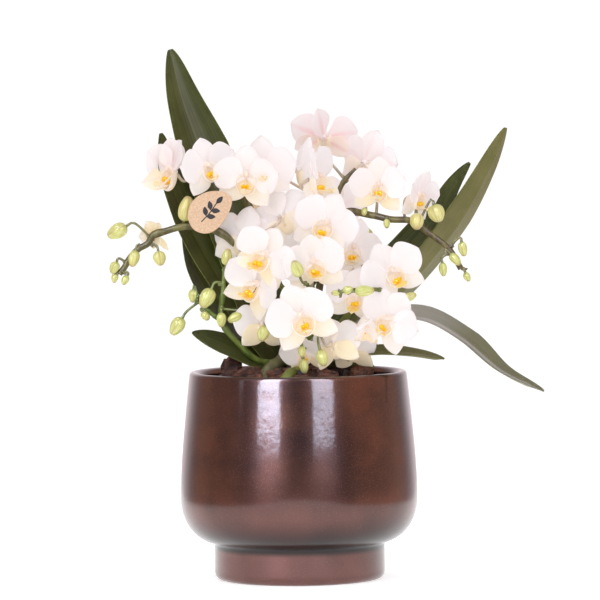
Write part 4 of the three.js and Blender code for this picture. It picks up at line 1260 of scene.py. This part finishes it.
def facing(direction):
    """The 3 x 3 matrix that turns +Z to direction."""
    return np.array(Vector((0, 0, 1)).rotation_difference(Vector(direction)).to_matrix())


def bract(base, direction, rng, warm):
    """A small scale leaf where a stalk leaves the stem."""
    skin = blade(BRACT, 0.4, 8, 7, rng, 0.05).coloured((warm, 0.12, 0), STEM_PAINT)
    skin.turned(turning(2, rng.uniform(0, 360))).turned(facing(direction))
    return skin.moved(*(np.array(base) - 0.4 * np.array(direction)))


def stem_skin(points, radius, warm):
    def thickness(share):
        knuckles = 0.2 * np.maximum(0, np.sin(share * 26)) ** 6
        return radius * (1.05 - 0.32 * share + knuckles)

    return tube(points, thickness, 12, 12 * len(points), (warm, 0, 0), STEM_PAINT)


def pedicel_skins(curves, flower, rng, warm):
    end, bend = flower.place([0, 1.6, -0.4]), flower.place([0, 7, -3.5])
    start = nearest_on_stems(curves, bend + np.array([0, 0, -7]))

    def thickness(share):
        return PEDICEL_RADIUS * (1 + 0.25 * smooth(share, 0.75, 1) - 0.1 * np.sin(np.pi * share))

    skin = tube([start, bend, end], thickness, 8, 16, (warm, 0, 0), STEM_PAINT)
    skin.tone[:, 1] = 0.25 + 0.6 * smooth(skin.pattern[:, 1], 0, 0.7)
    return [skin, bract(start, unit(bend - start), rng, warm)]


def bud_skin(length, width, ripe, rng):
    """A bud of three folded sepals, whose seams show as grooves."""
    tilt = np.linspace(0.04, np.pi - 0.04, BUD_RINGS)[:, None]
    angle = circle(BUD_SIDES)[None, :]
    nose = 0.12 * length * smooth(-np.cos(tilt), 0.6, 1)
    off_seam = np.abs(np.mod(angle * 3 / (2 * np.pi), 1) - 0.5)
    seam = 1 - 0.07 * np.exp(-(off_seam / 0.1) ** 2) * np.sin(tilt)
    reach = width / 2 * np.sin(tilt) ** 0.85 * (1 + 0.1 * np.cos(tilt)) * seam
    height = -length / 2 * np.cos(tilt) + nose * 0.5 + 0 * angle
    points = np.stack([reach * np.cos(angle), reach * np.sin(angle), height], axis=-1)
    smallness = 1 - min(1, width / 7)
    green = rng.uniform(0.1, 0.5)
    tone = (green if ripe is None else ripe, 0.15 + 0.5 * smallness, rng.uniform(0, 9))
    return tube_skin(points, np.linspace(0, 1, BUD_SIDES), tone, BUD_PAINT)


def opening_bud_skins(rng):
    """A bud that opens: cupped tepals that stand out from its middle at their own angles."""
    skins = []
    for angle, lean, length, width, warm in OPENING_TEPALS:
        shape = Shape(length, width, 0.52, 0.5, 2.2, 0.26 * width, 0.1 * length)
        skin = blade(shape, 0.6, 16, 15, rng, 0.1).coloured((warm, 0.03, rng.uniform(0, 9)), TEPAL_PAINT)
        skins.append(skin.turned(turning(0, lean)).turned(turning(1, angle)))
    return skins


def bud_skins(curves, bud, rng, warm, opens=False):
    at, (length, width), hang, ripe = (*bud, None)[:4]
    centre = np.array(at, float)
    direction = unit(np.array(hang, float))
    base = centre + direction * (0.8 - length / 2)
    bend = base - direction * 0.45 * length
    start = nearest_on_stems(curves, bend)

    def thickness(share):
        return STALK_RADIUS * (1 + 0.35 * smooth(share, 0.8, 1))

    stalk = tube([start, bend, base], thickness, 8, 14, (warm * 0.7, 0.1, 0), STEM_PAINT)
    parts = opening_bud_skins(rng) if opens else [bud_skin(length, width, ripe, rng)]
    for skin in parts:
        skin.turned(facing(direction)).moved(*centre)
    return parts + [stalk, bract(start, unit(bend - start), rng, warm)]


def make_spikes():
    for i, (name, spec) in enumerate(SPIKES.items()):
        rng = random.Random(SPIKE_SEED + i)
        warm = spec["warm"]
        curves = [Curve(points) for points in spec["stems"]]
        skins = []
        for place, points in enumerate(spec["stems"]):
            share = 1 if place == 0 else SIDE_STEM_SHARE
            skins.append(stem_skin(points, spec["radius"] * share, warm))
        for flower in FLOWERS:
            if flower.spike == name:
                skins += pedicel_skins(curves, flower, rng, warm)
        for bud in spec["buds"]:
            skins += bud_skins(curves, bud, rng, warm)
        for bud in spec.get("opening", []):
            skins += bud_skins(curves, bud, rng, warm, opens=True)
        node = "spike_" + name
        add_piece(node + "_stems", skins, [STEM, BUD, TEPAL], [node])


# Tag and its clip

def tag_outline():
    corners = [
        [[-8, -9], [-3, -12.5], [2, -11], [6, -6]],
        [[6, -6], [9, -2], [11.5, 3], [11, 6.5]],
        [[11, 6.5], [9, 11], [-1, 12], [-7, 7]],
        [[-7, 7], [-12, 3], [-12.5, -5], [-8, -9]],
    ]
    return np.array([spot for corner in corners for spot in bezier(corner, 16)])


def sprig_skins():
    """A plain dark sprig on the tag's face: a stalk with pairs of leaves."""
    rng = random.Random(SPRIG_SEED)
    skins = [tube([[-4.4, 0, -5], [-0.5, 0, -1], [3.5, 0, 4.5]], 0.28, 6, 12)]
    for share, side in ((0.3, 1), (0.3, -1), (0.6, 1), (0.6, -1), (0.95, 0)):
        skin = blade(SPRIG_LEAF, 0.3, 9, 7, rng, 0)
        skin.turned(turning(1, 44 + 52 * side)).moved(x=-4.4 + 7.9 * share, z=-5 + 9.5 * share)
        skins.append(skin)
    x, y, z = TAG_CENTRE
    return [skin.moved(x, y - TAG_THICKNESS / 2, z) for skin in skins]


def make_tag():
    outline = tag_outline()
    rings = []
    for share, depth in ((0.985, -0.5), (0.995, -0.42), (1, -0.3), (1, 0.3), (0.995, 0.42), (0.985, 0.5)):
        x, z = (outline * share).T
        rings.append(np.stack([x, np.full(len(x), depth * TAG_THICKNESS), z], axis=-1))
    skin = tube_skin(np.array(rings), np.linspace(0, 1, len(outline))).moved(*TAG_CENTRE)
    piece = add_piece("tag_card", [skin], [KRAFT], ["tag"])
    for face in piece.data.polygons:
        face.use_smooth = len(face.vertices) == 4 and abs(face.normal.y) < 0.9
    add_piece("tag_sprig", sprig_skins(), [INK], ["tag"])


def make_clip():
    """A broad open hoop round the stem and a bar from it to the card."""
    x, y, z = CLIP_CENTRE
    angles = np.radians(np.linspace(-230, 50, 30))
    ring = [[x, y + CLIP_RADIUS * math.sin(a), z + CLIP_RADIUS * math.cos(a)] for a in angles]
    hoop = tube(ring, HOOP_WIRE, 10, 40)
    hoop.points[:, 0] = x + (hoop.points[:, 0] - x) * HOOP_BREADTH
    bar = tube([[x, TAG_CENTRE[1] + 0.9, z], [x, y - CLIP_RADIUS, z]], BAR_WIRE, 10, 8)
    add_piece("tag_clip_hoop", [hoop, bar], [PLASTIC], ["tag_clip"])


# Stage: floor, camera, lights and surroundings

def make_floor():
    """A long oval table, much deeper than the picture."""
    corners = [(TABLE[0] * math.cos(a), TABLE[1] * math.sin(a), 0) for a in circle(96)]
    mesh = bpy.data.meshes.new("floor")
    mesh.from_pydata(corners, [], [tuple(range(len(corners)))])
    mesh.materials.append(floor_material())
    new_object("floor", mesh)


def make_camera():
    eye, aim = Vector(CAMERA_EYE) * MM, Vector(CAMERA_AIM) * MM
    data = bpy.data.cameras.new("camera")
    data.sensor_width = SENSOR_WIDTH
    data.lens = SENSOR_WIDTH * (aim - eye).length / (PICTURE_SIDE * MM_PER_PIXEL * MM)
    camera = new_object("camera", data)
    camera.location = eye
    camera.rotation_mode = "QUATERNION"
    roll = Quaternion((0, 0, 1), math.radians(CAMERA_ROLL))
    camera.rotation_quaternion = (aim - eye).to_track_quat("-Z", "Y") @ roll
    bpy.context.scene.camera = camera


def make_softbox(name, azimuth, distance, low, high, width, watts):
    """An upright light panel that looks a little downwards, at the Z axis."""
    turn = math.radians(azimuth)
    spot = Vector((math.sin(turn) * distance, -math.cos(turn) * distance, (low + high) / 2))
    data = bpy.data.lights.new(name, "AREA")
    data.shape = "RECTANGLE"
    data.size, data.size_y = width, high - low
    data.energy = watts
    light = new_object(name, data)
    light.location = spot
    aim = Vector((0, 0, spot.z * SOFTBOX_AIM))
    light.rotation_euler = (aim - spot).to_track_quat("-Z", "Y").to_euler()
    light.visible_camera = False
    light.visible_glossy = False


def make_lights():
    for name, panel in SOFTBOXES.items():
        make_softbox(name, *panel)


def panels(nodes, azimuth, rows, soft):
    """Upright panels of light added up; a row is (from, to, brightness), in degrees."""
    total = 0.0
    for low, high, bright in rows:
        total = nodes.math("ADD", total, nodes.product(nodes.band(azimuth, low, high, soft), bright))
    return total


def gloss_room(nodes):
    """What gloss sees: a dim room with warm sides, upright softboxes and a white wall behind."""
    direction = nodes.node("ShaderNodeTexCoord", {}).outputs["Generated"]
    x, y, z = nodes.split(direction)
    azimuth = nodes.math("DEGREES", nodes.math("ARCTAN2", x, nodes.product(y, -1.0)))
    low, high = (math.sin(math.radians(angle)) for angle in SOFTBOX_HEIGHTS)
    strips = nodes.product(panels(nodes, azimuth, SOFTBOX_BANDS, 2), nodes.band(z, low, high, 0.02))
    sides = panels(nodes, azimuth, WARM_SIDES, 14)
    wall = nodes.ramp(nodes.math("ABSOLUTE", azimuth), *WALL_BORDER, ROOM_DIM, 1.0)
    warm = nodes.math("ADD", wall, sides)
    total = nodes.math("ADD", warm, strips)
    tint = nodes.mix(nodes.math("DIVIDE", sides, warm), WALL_TINT, SIDE_TINT)
    return total, nodes.mix(nodes.math("DIVIDE", strips, total), tint, SOFTBOX_TINT)


def make_world():
    """White to the camera, soft white to matt surfaces and a studio room to gloss."""
    world = bpy.data.worlds.new("studio")
    world.use_nodes = True
    nodes = Nodes(world.node_tree)
    nodes.tree.nodes.clear()
    path = nodes.node("ShaderNodeLightPath", {}).outputs
    room, tint = gloss_room(nodes)
    lit = nodes.blend(path["Is Glossy Ray"], WORLD_MATT, room)
    strength = nodes.blend(path["Is Camera Ray"], lit, WORLD_SEEN)
    colour = nodes.mix(path["Is Glossy Ray"], (1.0, 1.0, 1.0), tint)
    background = nodes.node("ShaderNodeBackground", {"Color": colour, "Strength": strength})
    nodes.node("ShaderNodeOutputWorld", {"Surface": background.outputs[0]})
    bpy.context.scene.world = world


make_camera()
make_planter()
make_grow_pot()
make_bark()
make_leaves()
make_crown()
make_roots()
make_spikes()
for flower in FLOWERS:
    make_flower(flower)
make_tag()
make_clip()
make_floor()
make_lights()
make_world()

view = bpy.context.scene.view_settings
view.view_transform = "Standard"
view.look = "None"
view.exposure = 0
view.gamma = 1
